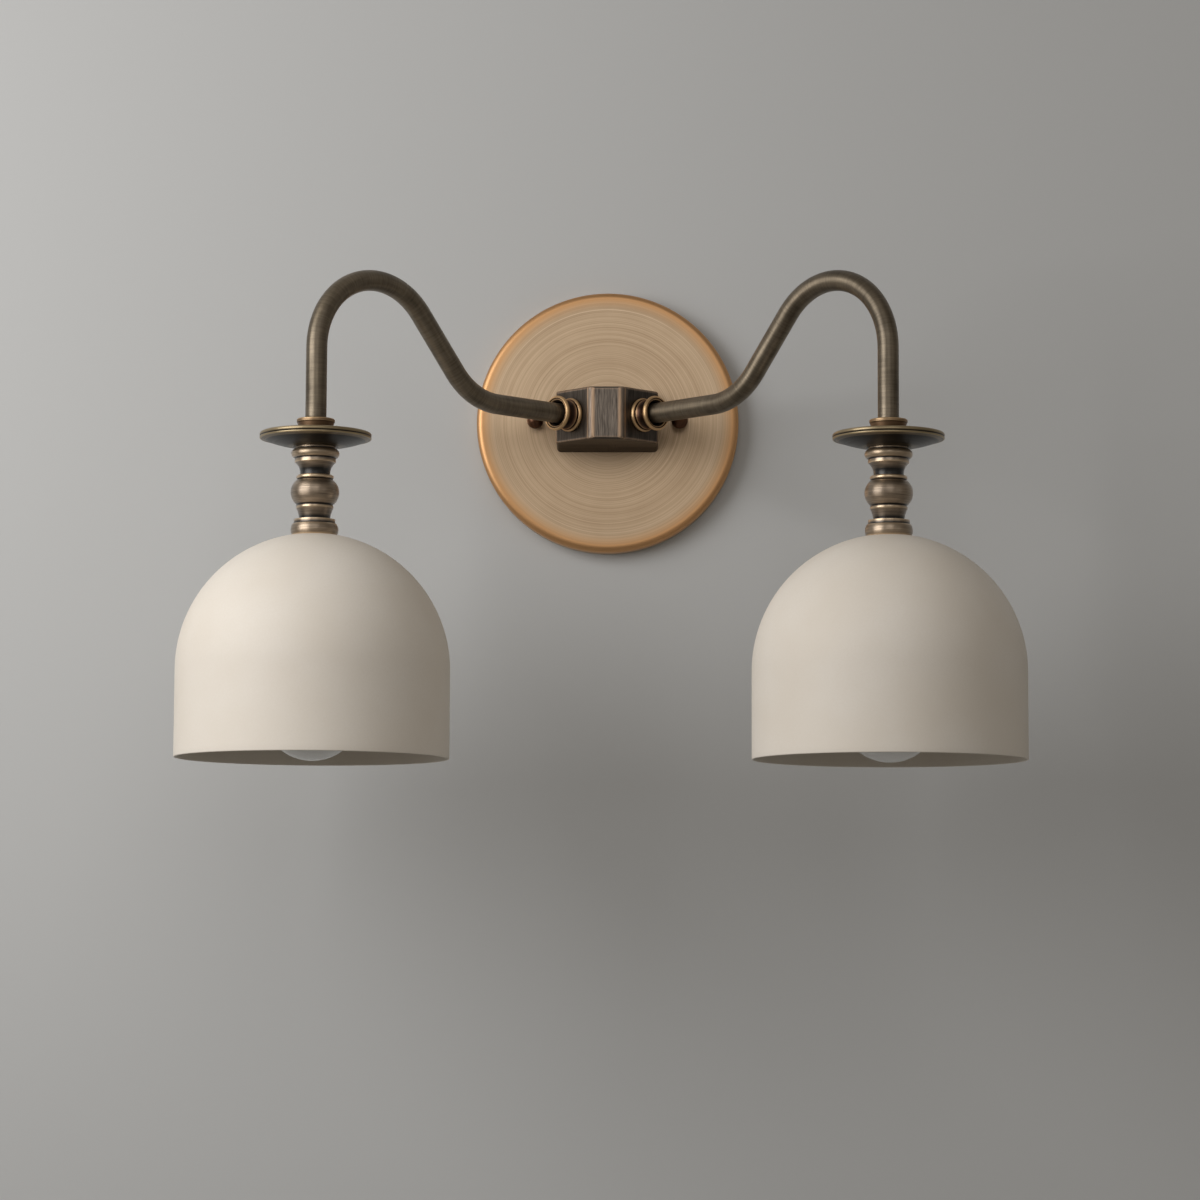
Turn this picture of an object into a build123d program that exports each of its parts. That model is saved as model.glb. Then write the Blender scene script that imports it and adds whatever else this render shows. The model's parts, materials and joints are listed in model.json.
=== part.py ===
"""Double arm wall sconce: round backplate, cast cluster body, two bent arms and two dome shades.

Frame: millimetres, origin at the centre of the backplate on the wall, +X to the viewer's right,
-Y out of the wall, +Z up. "Height" along the wall normal is measured outwards, towards -Y.
"""

import os
from math import cos, pi, radians, sin, sqrt, tan

from build123d import *

os.makedirs("parts", exist_ok=True)

# ---------------------------------------------------------------- clearances
thread_clearance = 0.05      # radial, threads and pressed seats drawn as plain cylinders
slip_clearance = 0.1         # radial, parts pushed over a tube or into a cup
running_clearance = 0.05     # radial, the knob turning on its stud
turning_gap = 0.3            # between a moving piece and the face it turns or lifts off

# ---------------------------------------------------------------- backplate
plate_diameter = 127.0
plate_depth = 10.0
plate_wall = 1.2
plate_edge_radius = 3.0

# ---------------------------------------------------------------- crossbar, studs and knobs
bar_length = 104.0
bar_width = 18.0
bar_thickness = 1.5
bar_corner_radius = 4.5
bar_centre_hole_diameter = 10.0
box_screw_spacing = 88.9
box_slot_length = 10.0
box_slot_width = 4.8
stud_spacing = 69.85
stud_diameter = 4.1
stud_nut_flats = 8.7
stud_nut_height = 3.0
knob_diameter = 8.0
knob_foot_diameter = 6.0
knob_foot_height = 1.2
knob_thread_depth = 6.0
ground_screw_x = 25.0
ground_screw_diameter = 4.0
ground_head_diameter = 8.0
ground_head_height = 2.4
driver_slot_width = 0.8      # every screw's slot; it is cut through half the head

# ---------------------------------------------------------------- cluster body
body_width = 49.0
body_front_width = 15.6
body_front_depth = 30.0      # from the plate's face to the flat front
body_height = 25.3
body_root_height = 29.8       # where the cast foot flares to meet the plate
body_arris_radius = 4.0       # on the two upright edges of the flat front
body_shoulder_radius = 1.2
body_edge_radius = 1.0
body_foot_margin = 1.0       # edges nearer the plate than this stay sharp
body_cavity_width = 26.0
body_cavity_height = 16.0
body_cavity_depth = 20.0
body_cavity_corner_radius = 4.0
body_screw_spacing = 37.0
body_screw_diameter = 4.0
body_screw_reach = 10.0
body_screw_head_diameter = 8.0
body_screw_head_height = 2.4
bushing_diameter = 13.6
bushing_bore = 11.0
bushing_flange_diameter = 17.0
bushing_flange_height = 1.0
bushing_tail = 2.0

# ---------------------------------------------------------------- arms and collars
arm_angle = 45.0             # plan angle between each arm and the wall
arm_meeting_depth = 14.0     # where the two arm axes would meet, from the wall
arm_reach = 181.0            # from that point to the lamp's axis, along the arm
arm_rise = 48.5              # top of the arch above the arm's entry
arm_bend_radius = 35.0
arm_slope = 49.0             # pitch of the straight slope between the two bends
tube_diameter = 9.5
tube_wall = 1.0
tube_engagement = 6.0        # length of tube screwed into the body
arm_bore_depth = 12.0        # from each side face of the body through to its cavity
tube_in_neck = 8.5           # length of tube screwed into the neck
collar_length = 10.6
collar_inner_flange_diameter = 16.2
collar_outer_flange_diameter = 16.6
collar_flange_width = 2.4
collar_waist_diameter = 12.6
collar_waist_rise = 0.7      # how far the waist swells towards both flanges
collar_mouth_diameter = 13.6
collar_bore_diameter = 11.6
collar_seat_length = 3.4     # the part of the bore that grips the tube
collar_bead_radius = 1.0

# ---------------------------------------------------------------- lamp: ring, pan, neck
neck_top_drop = 31.7         # from the arm's entry level down to the neck's top face
neck_wire_bore = 7.2
neck_nipple_engagement = 12.0
ring_height = 9.6
ring_top_diameter = 17.1
ring_taper = 2.6             # how much smaller the ring's radius is at its foot
ring_lip_height = 1.4        # upright band at the ring's top
ring_edge = 0.35
pan_diameter = 50.0
pan_hub_diameter = 19.6
pan_hub_height = 3.1
pan_rim_height = 2.8
pan_rim_level = 3.7          # lower edge of the rim above the hub's underside
pan_wall = 1.6
pan_groove_depth = 0.5
pan_dish_level = 1.5         # middle of the dish above the hub's underside
pan_bead_reach = 0.56        # from the rim's edge to the middle of each of its two beads

# ---------------------------------------------------------------- turned neck, from its foot up
base_torus_height = 5.4
base_torus_radius = 10.7
foot_radius = 9.9
lower_fillet_height = 2.0
lower_fillet_radius = 9.3
lower_cove_height = 4.5
lower_cove_radius = 6.9
lower_bead_height = 2.0
bead_radius = 8.4
ball_height = 11.4
ball_root_radius = 8.0
ball_radius = 10.85
upper_bead_height = 2.1
upper_cove_height = 5.6
upper_cove_radius = 6.75
upper_cove_mouth_radius = 8.9
upper_fillet_height = 1.9
upper_fillet_radius = 9.2
upper_torus_height = 4.3
upper_torus_radius = 10.75
neck_top_height = 0.8
neck_top_radius = 9.0
cove_lip = 0.5               # short straight step where a cove starts

# ---------------------------------------------------------------- shade
shade_diameter = 122.0
shade_height = 99.2
shade_wall = 1.0
shade_crown_diameter = 23.0
shade_hole_clearance = 0.45  # radial, round the nipple
shade_rim_radius = 0.4

# ---------------------------------------------------------------- lampholder
nipple_diameter = 9.5
nipple_bore = 6.5
nipple_stop = 0.6            # how far the nipple ends above the cup of the holder
washer_diameter = 22.0
washer_thickness = 1.2
lock_nut_flats = 14.0
lock_nut_height = 3.0
holder_hub_diameter = 14.0
holder_hub_height = 7.0
holder_cup_height = 13.8
holder_cup_wall = 0.8
holder_cup_roof = 1.6
holder_shoulder_radius = 3.5
set_screw_diameter = 3.0
insulator_diameter = 33.0
insulator_height = 34.0
insulator_top = 4.0
insulator_rim_chamfer = 0.8
insulator_drop = 5.8         # from the top of the holder's cup to the insulator
screw_shell_wall = 0.4
screw_shell_length = 26.0
terminal_spacing = 18.0
terminal_screw_diameter = 3.4
terminal_head_diameter = 6.0
terminal_head_height = 1.6
contact_width = 6.0
contact_thickness = 0.4
contact_reach = 2.7
contact_pad_length = 3.2

# ---------------------------------------------------------------- bulb
bulb_diameter = 45.0
bulb_length = 75.0
bulb_wall = 0.8
bulb_neck_diameter = 25.0
bulb_blend_angle = 38.0      # above the ball's middle, where the neck's curve leaves it
cap_diameter = 26.4
cap_root_diameter = 24.8
cap_thread_pitch = 3.6
cap_thread_turns = 6
cap_wall = 0.5
tip_diameter = 9.6
tip_insulator_height = 2.4
tip_height = 1.2
solder_diameter = 5.6

# ---------------------------------------------------------------- leads and wire nuts
lead_diameter = 1.8
lead_spacing = 2.0
lead_bend_radius = 2.5       # the turns inside the lampholder and behind the plate
lead_body_bend_radius = 10.0 # the wide turn inside the body
lead_clearance = 0.3         # radial, round the pair of leads in a wire nut
lead_level = 1.5             # live above, neutral below the centre line, in the bushing
wire_nut_diameter = 8.0
wire_nut_length = 15.0
wire_nut_bore_depth = 10.0
wire_nut_taper = 3.0         # degrees
wire_nut_gap = 7.0           # from the crossbar's edge to the nut's mouth
wire_nut_grip = 6.0          # length of lead inside the nut

# ---------------------------------------------------------------- worked out from the above
body_front = plate_depth + body_front_depth
body_shoulder = body_front - (body_width - body_front_width) / 2 * tan(radians(90 - arm_angle))
plan_cos = cos(radians(arm_angle))
plan_sin = sin(radians(arm_angle))
face_reach = body_front_width / 2 * plan_cos + (body_front - arm_meeting_depth) * plan_sin
lamp_x = arm_reach * plan_cos
lamp_y = -(arm_meeting_depth + arm_reach * plan_sin)
base_torus_top = base_torus_height
lower_fillet_top = base_torus_top + lower_fillet_height
lower_cove_top = lower_fillet_top + lower_cove_height
lower_bead_top = lower_cove_top + lower_bead_height
ball_top = lower_bead_top + ball_height
upper_bead_top = ball_top + upper_bead_height
upper_cove_top = upper_bead_top + upper_cove_height
upper_fillet_top = upper_cove_top + upper_fillet_height
upper_torus_top = upper_fillet_top + upper_torus_height
neck_height = upper_torus_top + neck_top_height
neck_top = -neck_top_drop
neck_foot = neck_top - neck_height
crown_inside = neck_foot - shade_wall
rim_level = neck_foot - shade_height
pan_floor = neck_top + pan_hub_height
holder_top = crown_inside - washer_thickness - lock_nut_height - turning_gap
cup_top = holder_top - holder_hub_height
insulator_level = cup_top - insulator_drop
contact_level = insulator_level - insulator_top
bulb_tip_level = contact_level - contact_reach - turning_gap
bulb_bottom = bulb_tip_level - bulb_length
screw_shell_diameter = cap_diameter + 2 * (turning_gap + screw_shell_wall)
holder_cup_diameter = insulator_diameter + 2 * (slip_clearance + holder_cup_wall)
terminal_level = insulator_level + slip_clearance + lead_diameter / 2
lead_plate_depth = (plate_depth - plate_wall) / 2
wire_nut_level = bar_width / 2 + wire_nut_gap
wire_nut_bore = lead_spacing + lead_diameter + 2 * lead_clearance
lead_end_level = wire_nut_level + wire_nut_grip


def arm_direction(side):
    """Unit vector along an arm's level run, outwards from the body."""
    return Vector(side * plan_cos, -plan_sin, 0)


def arm_plane(side, sideways=0.0):
    """Upright plane of one arm: local x runs outwards along it, local y is up."""
    outwards = arm_direction(side)
    towards_wall = Vector(side * plan_sin, plan_cos, 0)
    origin = Vector(0, -arm_meeting_depth, 0) + towards_wall * sideways
    return Plane(origin=origin, x_dir=outwards, z_dir=outwards.cross(Vector(0, 0, 1)))


def arm_cross_plane(side, reach):
    """Plane square to an arm's level run at the given reach."""
    outwards = arm_direction(side)
    origin = Vector(0, -arm_meeting_depth, 0) + outwards * reach
    return Plane(origin=origin, x_dir=(0, 0, 1), z_dir=outwards)


def lamp_plane(side):
    """Upright plane through a lamp's axis: local x is the radius, local y the level."""
    return Plane(origin=(side * lamp_x, lamp_y, 0), x_dir=(1, 0, 0), z_dir=(0, -1, 0))


def lamp_level_plane(side, level):
    """Level plane centred on a lamp's axis."""
    return Plane(origin=(side * lamp_x, lamp_y, level))


def lamp_axis(side):
    """Upright axis of one lamp."""
    return Axis((side * lamp_x, lamp_y, 0), (0, 0, 1))


def arm_corners():
    """Corners of the arm's centre line in its plane: foot of the slope and top of the leg."""
    slope = radians(arm_slope)
    arch_x = arm_reach - arm_bend_radius
    arch_y = arm_rise - arm_bend_radius
    tangent_x = arch_x - arm_bend_radius * sin(slope)
    tangent_y = arch_y + arm_bend_radius * cos(slope)
    foot_x = tangent_x - tangent_y / tan(slope)
    return foot_x, (arm_reach - foot_x) * tan(slope)


def save(piece, name):
    """Label a finished piece and write it under its own name."""
    piece.part.label = name
    export_step(piece.part, f"parts/{name}.step")


# ================================================================ wall side
with BuildPart() as backplate:
    with BuildSketch(Plane.XZ):
        Circle(plate_diameter / 2)
    extrude(amount=plate_depth)
    fillet(backplate.faces().sort_by(Axis.Y)[0].edges(), plate_edge_radius)
    offset(amount=-plate_wall, openings=backplate.faces().sort_by(Axis.Y)[-1])
    with BuildSketch(Plane.XZ):
        with GridLocations(stud_spacing, 0, 2, 1):
            Circle(stud_diameter / 2 + slip_clearance)
        with GridLocations(body_screw_spacing, 0, 2, 1):
            Circle(body_screw_diameter / 2 + slip_clearance)
        Circle(bushing_diameter / 2 + slip_clearance)
    extrude(amount=plate_depth, mode=Mode.SUBTRACT)
save(backplate, "backplate")

with BuildPart() as crossbar:
    with BuildSketch(Plane.XZ):
        RectangleRounded(bar_length, bar_width, bar_corner_radius)
        Circle(bar_centre_hole_diameter / 2, mode=Mode.SUBTRACT)
        with GridLocations(box_screw_spacing, 0, 2, 1):
            SlotOverall(box_slot_length, box_slot_width, mode=Mode.SUBTRACT)
        with GridLocations(stud_spacing, 0, 2, 1):
            Circle(stud_diameter / 2 + thread_clearance, mode=Mode.SUBTRACT)
        with Locations((ground_screw_x, 0)):
            Circle(ground_screw_diameter / 2 + thread_clearance, mode=Mode.SUBTRACT)
    extrude(amount=bar_thickness)
save(crossbar, "crossbar")

with BuildPart() as ground_screw:
    with BuildSketch(Plane.XZ):
        with Locations((ground_screw_x, 0)):
            Circle(ground_screw_diameter / 2)
    extrude(amount=bar_thickness)
    with BuildSketch(Plane.XZ.offset(bar_thickness)):
        with Locations((ground_screw_x, 0)):
            RegularPolygon(ground_head_diameter / 2, 6)
    extrude(amount=ground_head_height)
    with BuildSketch(Plane.XZ.offset(bar_thickness + ground_head_height / 2)):
        with Locations((ground_screw_x, 0)):
            Rectangle(ground_head_diameter, driver_slot_width)
    extrude(amount=ground_head_height, mode=Mode.SUBTRACT)
save(ground_screw, "ground_screw")

knob_foot = plate_depth + turning_gap
knob_centre = knob_foot + knob_foot_height + sqrt(knob_diameter**2 - knob_foot_diameter**2) / 2
stud_tip = knob_foot + knob_thread_depth - turning_gap

with BuildPart() as canopy_studs:
    with BuildSketch(Plane.XZ):
        with GridLocations(stud_spacing, 0, 2, 1):
            Circle(stud_diameter / 2)
    extrude(amount=stud_tip)
save(canopy_studs, "canopy_studs")

with BuildPart() as stud_lock_nuts:
    with BuildSketch(Plane.XZ.offset(bar_thickness)):
        with GridLocations(stud_spacing, 0, 2, 1):
            RegularPolygon(stud_nut_flats / 2, 6, major_radius=False)
            Circle(stud_diameter / 2 + thread_clearance, mode=Mode.SUBTRACT)
    extrude(amount=stud_nut_height)
save(stud_lock_nuts, "stud_lock_nuts")


def make_knob(side, name):
    """Ball knob with a short foot, bored blind for its stud."""
    centre_x = side * stud_spacing / 2
    knob_plane = Plane(origin=(centre_x, 0, 0), x_dir=(1, 0, 0), z_dir=(0, 0, -1))
    with BuildPart() as knob:
        with BuildSketch(knob_plane):
            with BuildLine():
                foot_radius = knob_foot_diameter / 2
                ball_start = (foot_radius, knob_foot + knob_foot_height)
                ball_side = (knob_diameter / 2, knob_centre)
                ball_top = (0, knob_centre + knob_diameter / 2)
                Line((0, knob_foot), (foot_radius, knob_foot))
                Line((foot_radius, knob_foot), ball_start)
                ThreePointArc(ball_start, ball_side, ball_top)
                Line(ball_top, (0, knob_foot))
            make_face()
        revolve(axis=Axis((centre_x, 0, 0), (0, 1, 0)))
        with BuildSketch(Plane.XZ.offset(knob_foot)):
            with Locations((centre_x, 0)):
                Circle(stud_diameter / 2 + running_clearance)
        extrude(amount=knob_thread_depth, mode=Mode.SUBTRACT)
    save(knob, name)


# ================================================================ cluster body
def stands_clear_of_plate(edge):
    """Whether any part of an edge stands out from the backplate."""
    return edge.bounding_box().min.Y < -plate_depth - body_foot_margin


with BuildPart() as cluster_body:
    with BuildSketch(Plane.XY.offset(-body_root_height / 2)):
        with BuildLine():
            Polyline(
                (-body_width / 2, -plate_depth),
                (-body_width / 2, -body_shoulder),
                (-body_front_width / 2, -body_front),
                (body_front_width / 2, -body_front),
                (body_width / 2, -body_shoulder),
                (body_width / 2, -plate_depth),
                close=True,
            )
        make_face()
    extrude(amount=body_root_height)
    with BuildSketch(Plane.YZ.offset(-body_width / 2)):
        with BuildLine():
            for way in (1, -1):
                front = (-body_front, way * body_height / 2)
                shoulder = (-body_shoulder, way * body_height / 2)
                foot = (-plate_depth, way * body_root_height / 2)
                Line((-body_front, 0), front)
                Line(front, shoulder)
                TangentArc(shoulder, foot, tangent=(1, 0))
                Line(foot, (-plate_depth, 0))
        make_face()
    extrude(amount=body_width, mode=Mode.INTERSECT)
    upright_edges = cluster_body.edges().filter_by(stands_clear_of_plate).filter_by(Axis.Z)
    fillet(upright_edges.sort_by(Axis.Y)[2:], body_shoulder_radius)
    upright_edges = cluster_body.edges().filter_by(stands_clear_of_plate).filter_by(Axis.Z)
    fillet(upright_edges.sort_by(Axis.Y)[:2], body_arris_radius)
    clear_edges = cluster_body.edges().filter_by(stands_clear_of_plate)
    fillet(clear_edges.filter_by(lambda edge: abs(edge.center().Z) > body_edge_radius), body_edge_radius)
    with BuildSketch(Plane.XZ.offset(plate_depth)):
        RectangleRounded(body_cavity_width, body_cavity_height, body_cavity_corner_radius)
    extrude(amount=body_cavity_depth, mode=Mode.SUBTRACT)
    with BuildSketch(Plane.XZ.offset(plate_depth)):
        with GridLocations(body_screw_spacing, 0, 2, 1):
            Circle(body_screw_diameter / 2 + thread_clearance)
    extrude(amount=body_screw_reach + 2 * thread_clearance, mode=Mode.SUBTRACT)
    for way in (1, -1):
        with BuildSketch(arm_cross_plane(way, face_reach - arm_bore_depth)):
            Circle(tube_diameter / 2 + thread_clearance)
        extrude(amount=arm_bore_depth + collar_length, mode=Mode.SUBTRACT)
save(cluster_body, "cluster_body")

with BuildPart() as body_screws:
    with BuildSketch(Plane.XZ.offset(plate_depth - plate_wall)):
        with GridLocations(body_screw_spacing, 0, 2, 1):
            Circle(body_screw_diameter / 2)
    extrude(amount=plate_wall + body_screw_reach)
    with BuildSketch(Plane.XZ.offset(plate_depth - plate_wall - body_screw_head_height)):
        with GridLocations(body_screw_spacing, 0, 2, 1):
            Circle(body_screw_head_diameter / 2)
    extrude(amount=body_screw_head_height)
    with BuildSketch(Plane.XZ.offset(plate_depth - plate_wall - body_screw_head_height)):
        with GridLocations(body_screw_spacing, 0, 2, 1):
            Rectangle(body_screw_head_diameter, driver_slot_width)
    extrude(amount=body_screw_head_height / 2, mode=Mode.SUBTRACT)
save(body_screws, "body_screws")

with BuildPart() as lead_bushing:
    flange_level = plate_depth - plate_wall - bushing_flange_height
    with BuildSketch(Plane.XZ.offset(flange_level)):
        Circle(bushing_flange_diameter / 2)
    extrude(amount=bushing_flange_height)
    with BuildSketch(Plane.XZ.offset(flange_level)):
        Circle(bushing_diameter / 2)
    extrude(amount=bushing_flange_height + plate_wall + bushing_tail)
    with BuildSketch(Plane.XZ.offset(flange_level)):
        Circle(bushing_bore / 2)
    extrude(amount=bushing_flange_height + plate_wall + bushing_tail, mode=Mode.SUBTRACT)
save(lead_bushing, "lead_bushing")


# ================================================================ arms
def make_arm(side, name):
    """Bent tube from inside the body to inside the neck: straight runs and two equal bends."""
    foot_x, leg_top = arm_corners()
    start_x = face_reach - tube_engagement
    with BuildPart() as arm:
        with BuildLine(arm_plane(side)):
            route = FilletPolyline(
                (start_x, 0),
                (foot_x, 0),
                (arm_reach, leg_top),
                (arm_reach, neck_top - tube_in_neck),
                radius=arm_bend_radius,
            )
        with BuildSketch(arm_cross_plane(side, start_x)):
            Circle(tube_diameter / 2)
            Circle(tube_diameter / 2 - tube_wall, mode=Mode.SUBTRACT)
        sweep(path=route)
    save(arm, name)


def make_collar(side, name):
    """Spool collar: two beaded flanges, a waist and a dished mouth round the tube."""
    seat = face_reach
    end = seat + collar_length
    dish = end - collar_bead_radius / 2
    mouth = collar_mouth_diameter / 2
    inner = collar_inner_flange_diameter / 2
    outer = collar_outer_flange_diameter / 2
    waist = collar_waist_diameter / 2
    grip = tube_diameter / 2 + slip_clearance
    waist_start = seat + collar_flange_width
    waist_end = end - collar_flange_width
    with BuildPart() as collar:
        with BuildSketch(arm_plane(side)):
            with BuildLine():
                Line((seat, grip), (seat, inner - collar_bead_radius))
                ThreePointArc(
                    (seat, inner - collar_bead_radius),
                    (seat + collar_flange_width / 2, inner),
                    (waist_start, inner - collar_bead_radius),
                )
                Line((waist_start, inner - collar_bead_radius), (waist_start, waist + collar_waist_rise))
                ThreePointArc(
                    (waist_start, waist + collar_waist_rise),
                    ((waist_start + waist_end) / 2, waist),
                    (waist_end, waist + collar_waist_rise),
                )
                Line((waist_end, waist + collar_waist_rise), (waist_end, outer - collar_bead_radius))
                ThreePointArc(
                    (waist_end, outer - collar_bead_radius),
                    (end - collar_flange_width / 2, outer),
                    (end, outer - collar_bead_radius),
                )
                Line((end, outer - collar_bead_radius), (dish, mouth))
                Polyline(
                    (dish, mouth),
                    (end - collar_bead_radius, mouth - collar_bead_radius / 2),
                    (end - collar_bead_radius, collar_bore_diameter / 2),
                    (seat + collar_seat_length, collar_bore_diameter / 2),
                    (seat + collar_seat_length, grip),
                    (seat, grip),
                )
            make_face()
        revolve(axis=Axis((0, -arm_meeting_depth, 0), arm_direction(side)))
    save(collar, name)


# ================================================================ ring, pan and neck of each lamp
def make_ring(side, name):
    """Tapered ring that slides on the tube and stands in the pan."""
    top_radius = ring_top_diameter / 2
    bore = tube_diameter / 2 + slip_clearance
    with BuildPart() as ring:
        with BuildSketch(lamp_plane(side)):
            with BuildLine():
                Polyline(
                    (bore, pan_floor),
                    (top_radius - ring_taper, pan_floor),
                    (top_radius, pan_floor + ring_height - ring_lip_height),
                    (top_radius, pan_floor + ring_height - ring_edge),
                    (top_radius - ring_edge, pan_floor + ring_height),
                    (bore, pan_floor + ring_height),
                    close=True,
                )
            make_face()
        revolve(axis=lamp_axis(side))
    save(ring, name)


def make_pan(side, name):
    """Shallow dished pan with a hub and a grooved upright rim."""
    rim = pan_diameter / 2
    hub = pan_hub_diameter / 2
    bore = tube_diameter / 2 + slip_clearance
    rim_foot = neck_top + pan_rim_level
    rim_top = rim_foot + pan_rim_height
    with BuildPart() as pan:
        with BuildSketch(lamp_plane(side)):
            with BuildLine():
                Line((bore, neck_top), (hub, neck_top))
                ThreePointArc(
                    (hub, neck_top),
                    ((hub + rim) / 2, neck_top + pan_dish_level),
                    (rim - pan_wall / 2, rim_foot),
                )
                ThreePointArc(
                    (rim - pan_wall / 2, rim_foot),
                    (rim, rim_foot + pan_bead_reach),
                    (rim - pan_groove_depth, rim_foot + pan_rim_height / 2),
                )
                ThreePointArc(
                    (rim - pan_groove_depth, rim_foot + pan_rim_height / 2),
                    (rim, rim_top - pan_bead_reach),
                    (rim - pan_wall / 2, rim_top),
                )
                Line((rim - pan_wall / 2, rim_top), (rim - pan_wall, rim_top - pan_bead_reach))
                ThreePointArc(
                    (rim - pan_wall, rim_top - pan_bead_reach),
                    ((hub + rim) / 2, neck_top + pan_dish_level + pan_wall),
                    (hub, pan_floor),
                )
                Line((hub, pan_floor), (bore, pan_floor))
                Line((bore, pan_floor), (bore, neck_top))
            make_face()
        revolve(axis=lamp_axis(side))
    save(pan, name)


def turned_bead(foot_level, top_level, root_radius, crest_radius):
    """Half-round swelling between two levels, from and back to its root radius."""
    middle = (foot_level + top_level) / 2
    ThreePointArc((root_radius, foot_level), (crest_radius, middle), (root_radius, top_level))


def make_neck(side, name):
    """Turned baluster neck: torus, fillet, cove, bead, ball and back again, bored through."""
    tube_bore = tube_diameter / 2 + thread_clearance
    nipple_hole = nipple_diameter / 2 + thread_clearance
    wire_bore = neck_wire_bore / 2
    tube_seat = neck_height - tube_in_neck
    with BuildPart() as neck:
        with BuildSketch(Plane(origin=(side * lamp_x, lamp_y, neck_foot), x_dir=(1, 0, 0), z_dir=(0, -1, 0))):
            with BuildLine():
                Line((nipple_hole, 0), (foot_radius, 0))
                turned_bead(0, base_torus_top, foot_radius, base_torus_radius)
                Polyline(
                    (foot_radius, base_torus_top),
                    (lower_fillet_radius, base_torus_top),
                    (lower_fillet_radius, lower_fillet_top),
                    (lower_cove_radius, lower_fillet_top),
                    (lower_cove_radius, lower_fillet_top + cove_lip),
                )
                ThreePointArc(
                    (lower_cove_radius, lower_fillet_top + cove_lip),
                    (lower_cove_radius + cove_lip, (lower_fillet_top + lower_cove_top) / 2 + cove_lip),
                    (ball_root_radius, lower_cove_top),
                )
                turned_bead(lower_cove_top, lower_bead_top, ball_root_radius, bead_radius)
                turned_bead(lower_bead_top, ball_top, ball_root_radius, ball_radius)
                Line((ball_root_radius, ball_top), (ball_root_radius - cove_lip, ball_top))
                turned_bead(ball_top, upper_bead_top, ball_root_radius - cove_lip, bead_radius)
                Polyline(
                    (ball_root_radius - cove_lip, upper_bead_top),
                    (upper_cove_radius, upper_bead_top),
                    (upper_cove_radius, upper_bead_top + cove_lip),
                )
                ThreePointArc(
                    (upper_cove_radius, upper_bead_top + cove_lip),
                    (upper_cove_radius + cove_lip, (upper_bead_top + upper_cove_top) / 2 + cove_lip),
                    (upper_cove_mouth_radius, upper_cove_top),
                )
                Polyline(
                    (upper_cove_mouth_radius, upper_cove_top),
                    (upper_fillet_radius, upper_cove_top),
                    (upper_fillet_radius, upper_fillet_top),
                    (neck_top_radius, upper_fillet_top),
                )
                turned_bead(upper_fillet_top, upper_torus_top, neck_top_radius, upper_torus_radius)
                Polyline(
                    (neck_top_radius, upper_torus_top),
                    (neck_top_radius, neck_height),
                    (tube_bore, neck_height),
                    (tube_bore, tube_seat),
                    (wire_bore, tube_seat),
                    (wire_bore, neck_nipple_engagement),
                    (nipple_hole, neck_nipple_engagement),
                    (nipple_hole, 0),
                )
            make_face()
        revolve(axis=lamp_axis(side))
    save(neck, name)


# ================================================================ shade and what clamps it
def make_shade(side, name):
    """Thin dome shade: flat crown with a hole, a spherical dome and a straight skirt."""
    outer = shade_diameter / 2
    inner = outer - shade_wall
    crown = shade_crown_diameter / 2
    hole = nipple_diameter / 2 + shade_hole_clearance
    dome_level = neck_foot - sqrt(outer**2 - crown**2)
    crown_inner = sqrt(inner**2 - (crown_inside - dome_level) ** 2)
    slant = sqrt(0.5)
    dome_side = (outer * slant, dome_level + outer * slant)
    with BuildPart() as shade:
        with BuildSketch(lamp_plane(side)):
            with BuildLine():
                Line((hole, neck_foot), (crown, neck_foot))
                ThreePointArc((crown, neck_foot), dome_side, (outer, dome_level))
                Line((outer, dome_level), (outer, rim_level))
                Line((outer, rim_level), (inner, rim_level))
                Line((inner, rim_level), (inner, dome_level))
                ThreePointArc(
                    (inner, dome_level),
                    (inner * slant, dome_level + inner * slant),
                    (crown_inner, crown_inside),
                )
                Line((crown_inner, crown_inside), (hole, crown_inside))
                Line((hole, crown_inside), (hole, neck_foot))
            make_face()
        revolve(axis=lamp_axis(side))
        rim_edges = shade.faces().sort_by(Axis.Z)[0].edges()
        fillet(rim_edges, shade_rim_radius)
    save(shade, name)


def make_nipple(side, name):
    """Hollow threaded nipple that joins neck, shade and lampholder."""
    nipple_top = neck_foot + neck_nipple_engagement - slip_clearance
    nipple_foot = cup_top + nipple_stop
    with BuildPart() as nipple:
        with BuildSketch(lamp_level_plane(side, nipple_foot)):
            Circle(nipple_diameter / 2)
            Circle(nipple_bore / 2, mode=Mode.SUBTRACT)
        extrude(amount=nipple_top - nipple_foot)
    save(nipple, name)


def make_washer(side, name):
    """Flat washer between the shade's crown and the lock nut."""
    with BuildPart() as washer:
        with BuildSketch(lamp_level_plane(side, crown_inside - washer_thickness)):
            Circle(washer_diameter / 2)
            Circle(nipple_diameter / 2 + slip_clearance, mode=Mode.SUBTRACT)
        extrude(amount=washer_thickness)
    save(washer, name)


def make_lock_nut(side, name):
    """Thin hexagon nut that clamps the shade against the neck."""
    nut_foot = crown_inside - washer_thickness - lock_nut_height
    with BuildPart() as nut:
        with BuildSketch(lamp_level_plane(side, nut_foot)):
            RegularPolygon(lock_nut_flats / 2, 6, major_radius=False)
            Circle(nipple_diameter / 2 + thread_clearance, mode=Mode.SUBTRACT)
        extrude(amount=lock_nut_height)
    save(nut, name)


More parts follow.
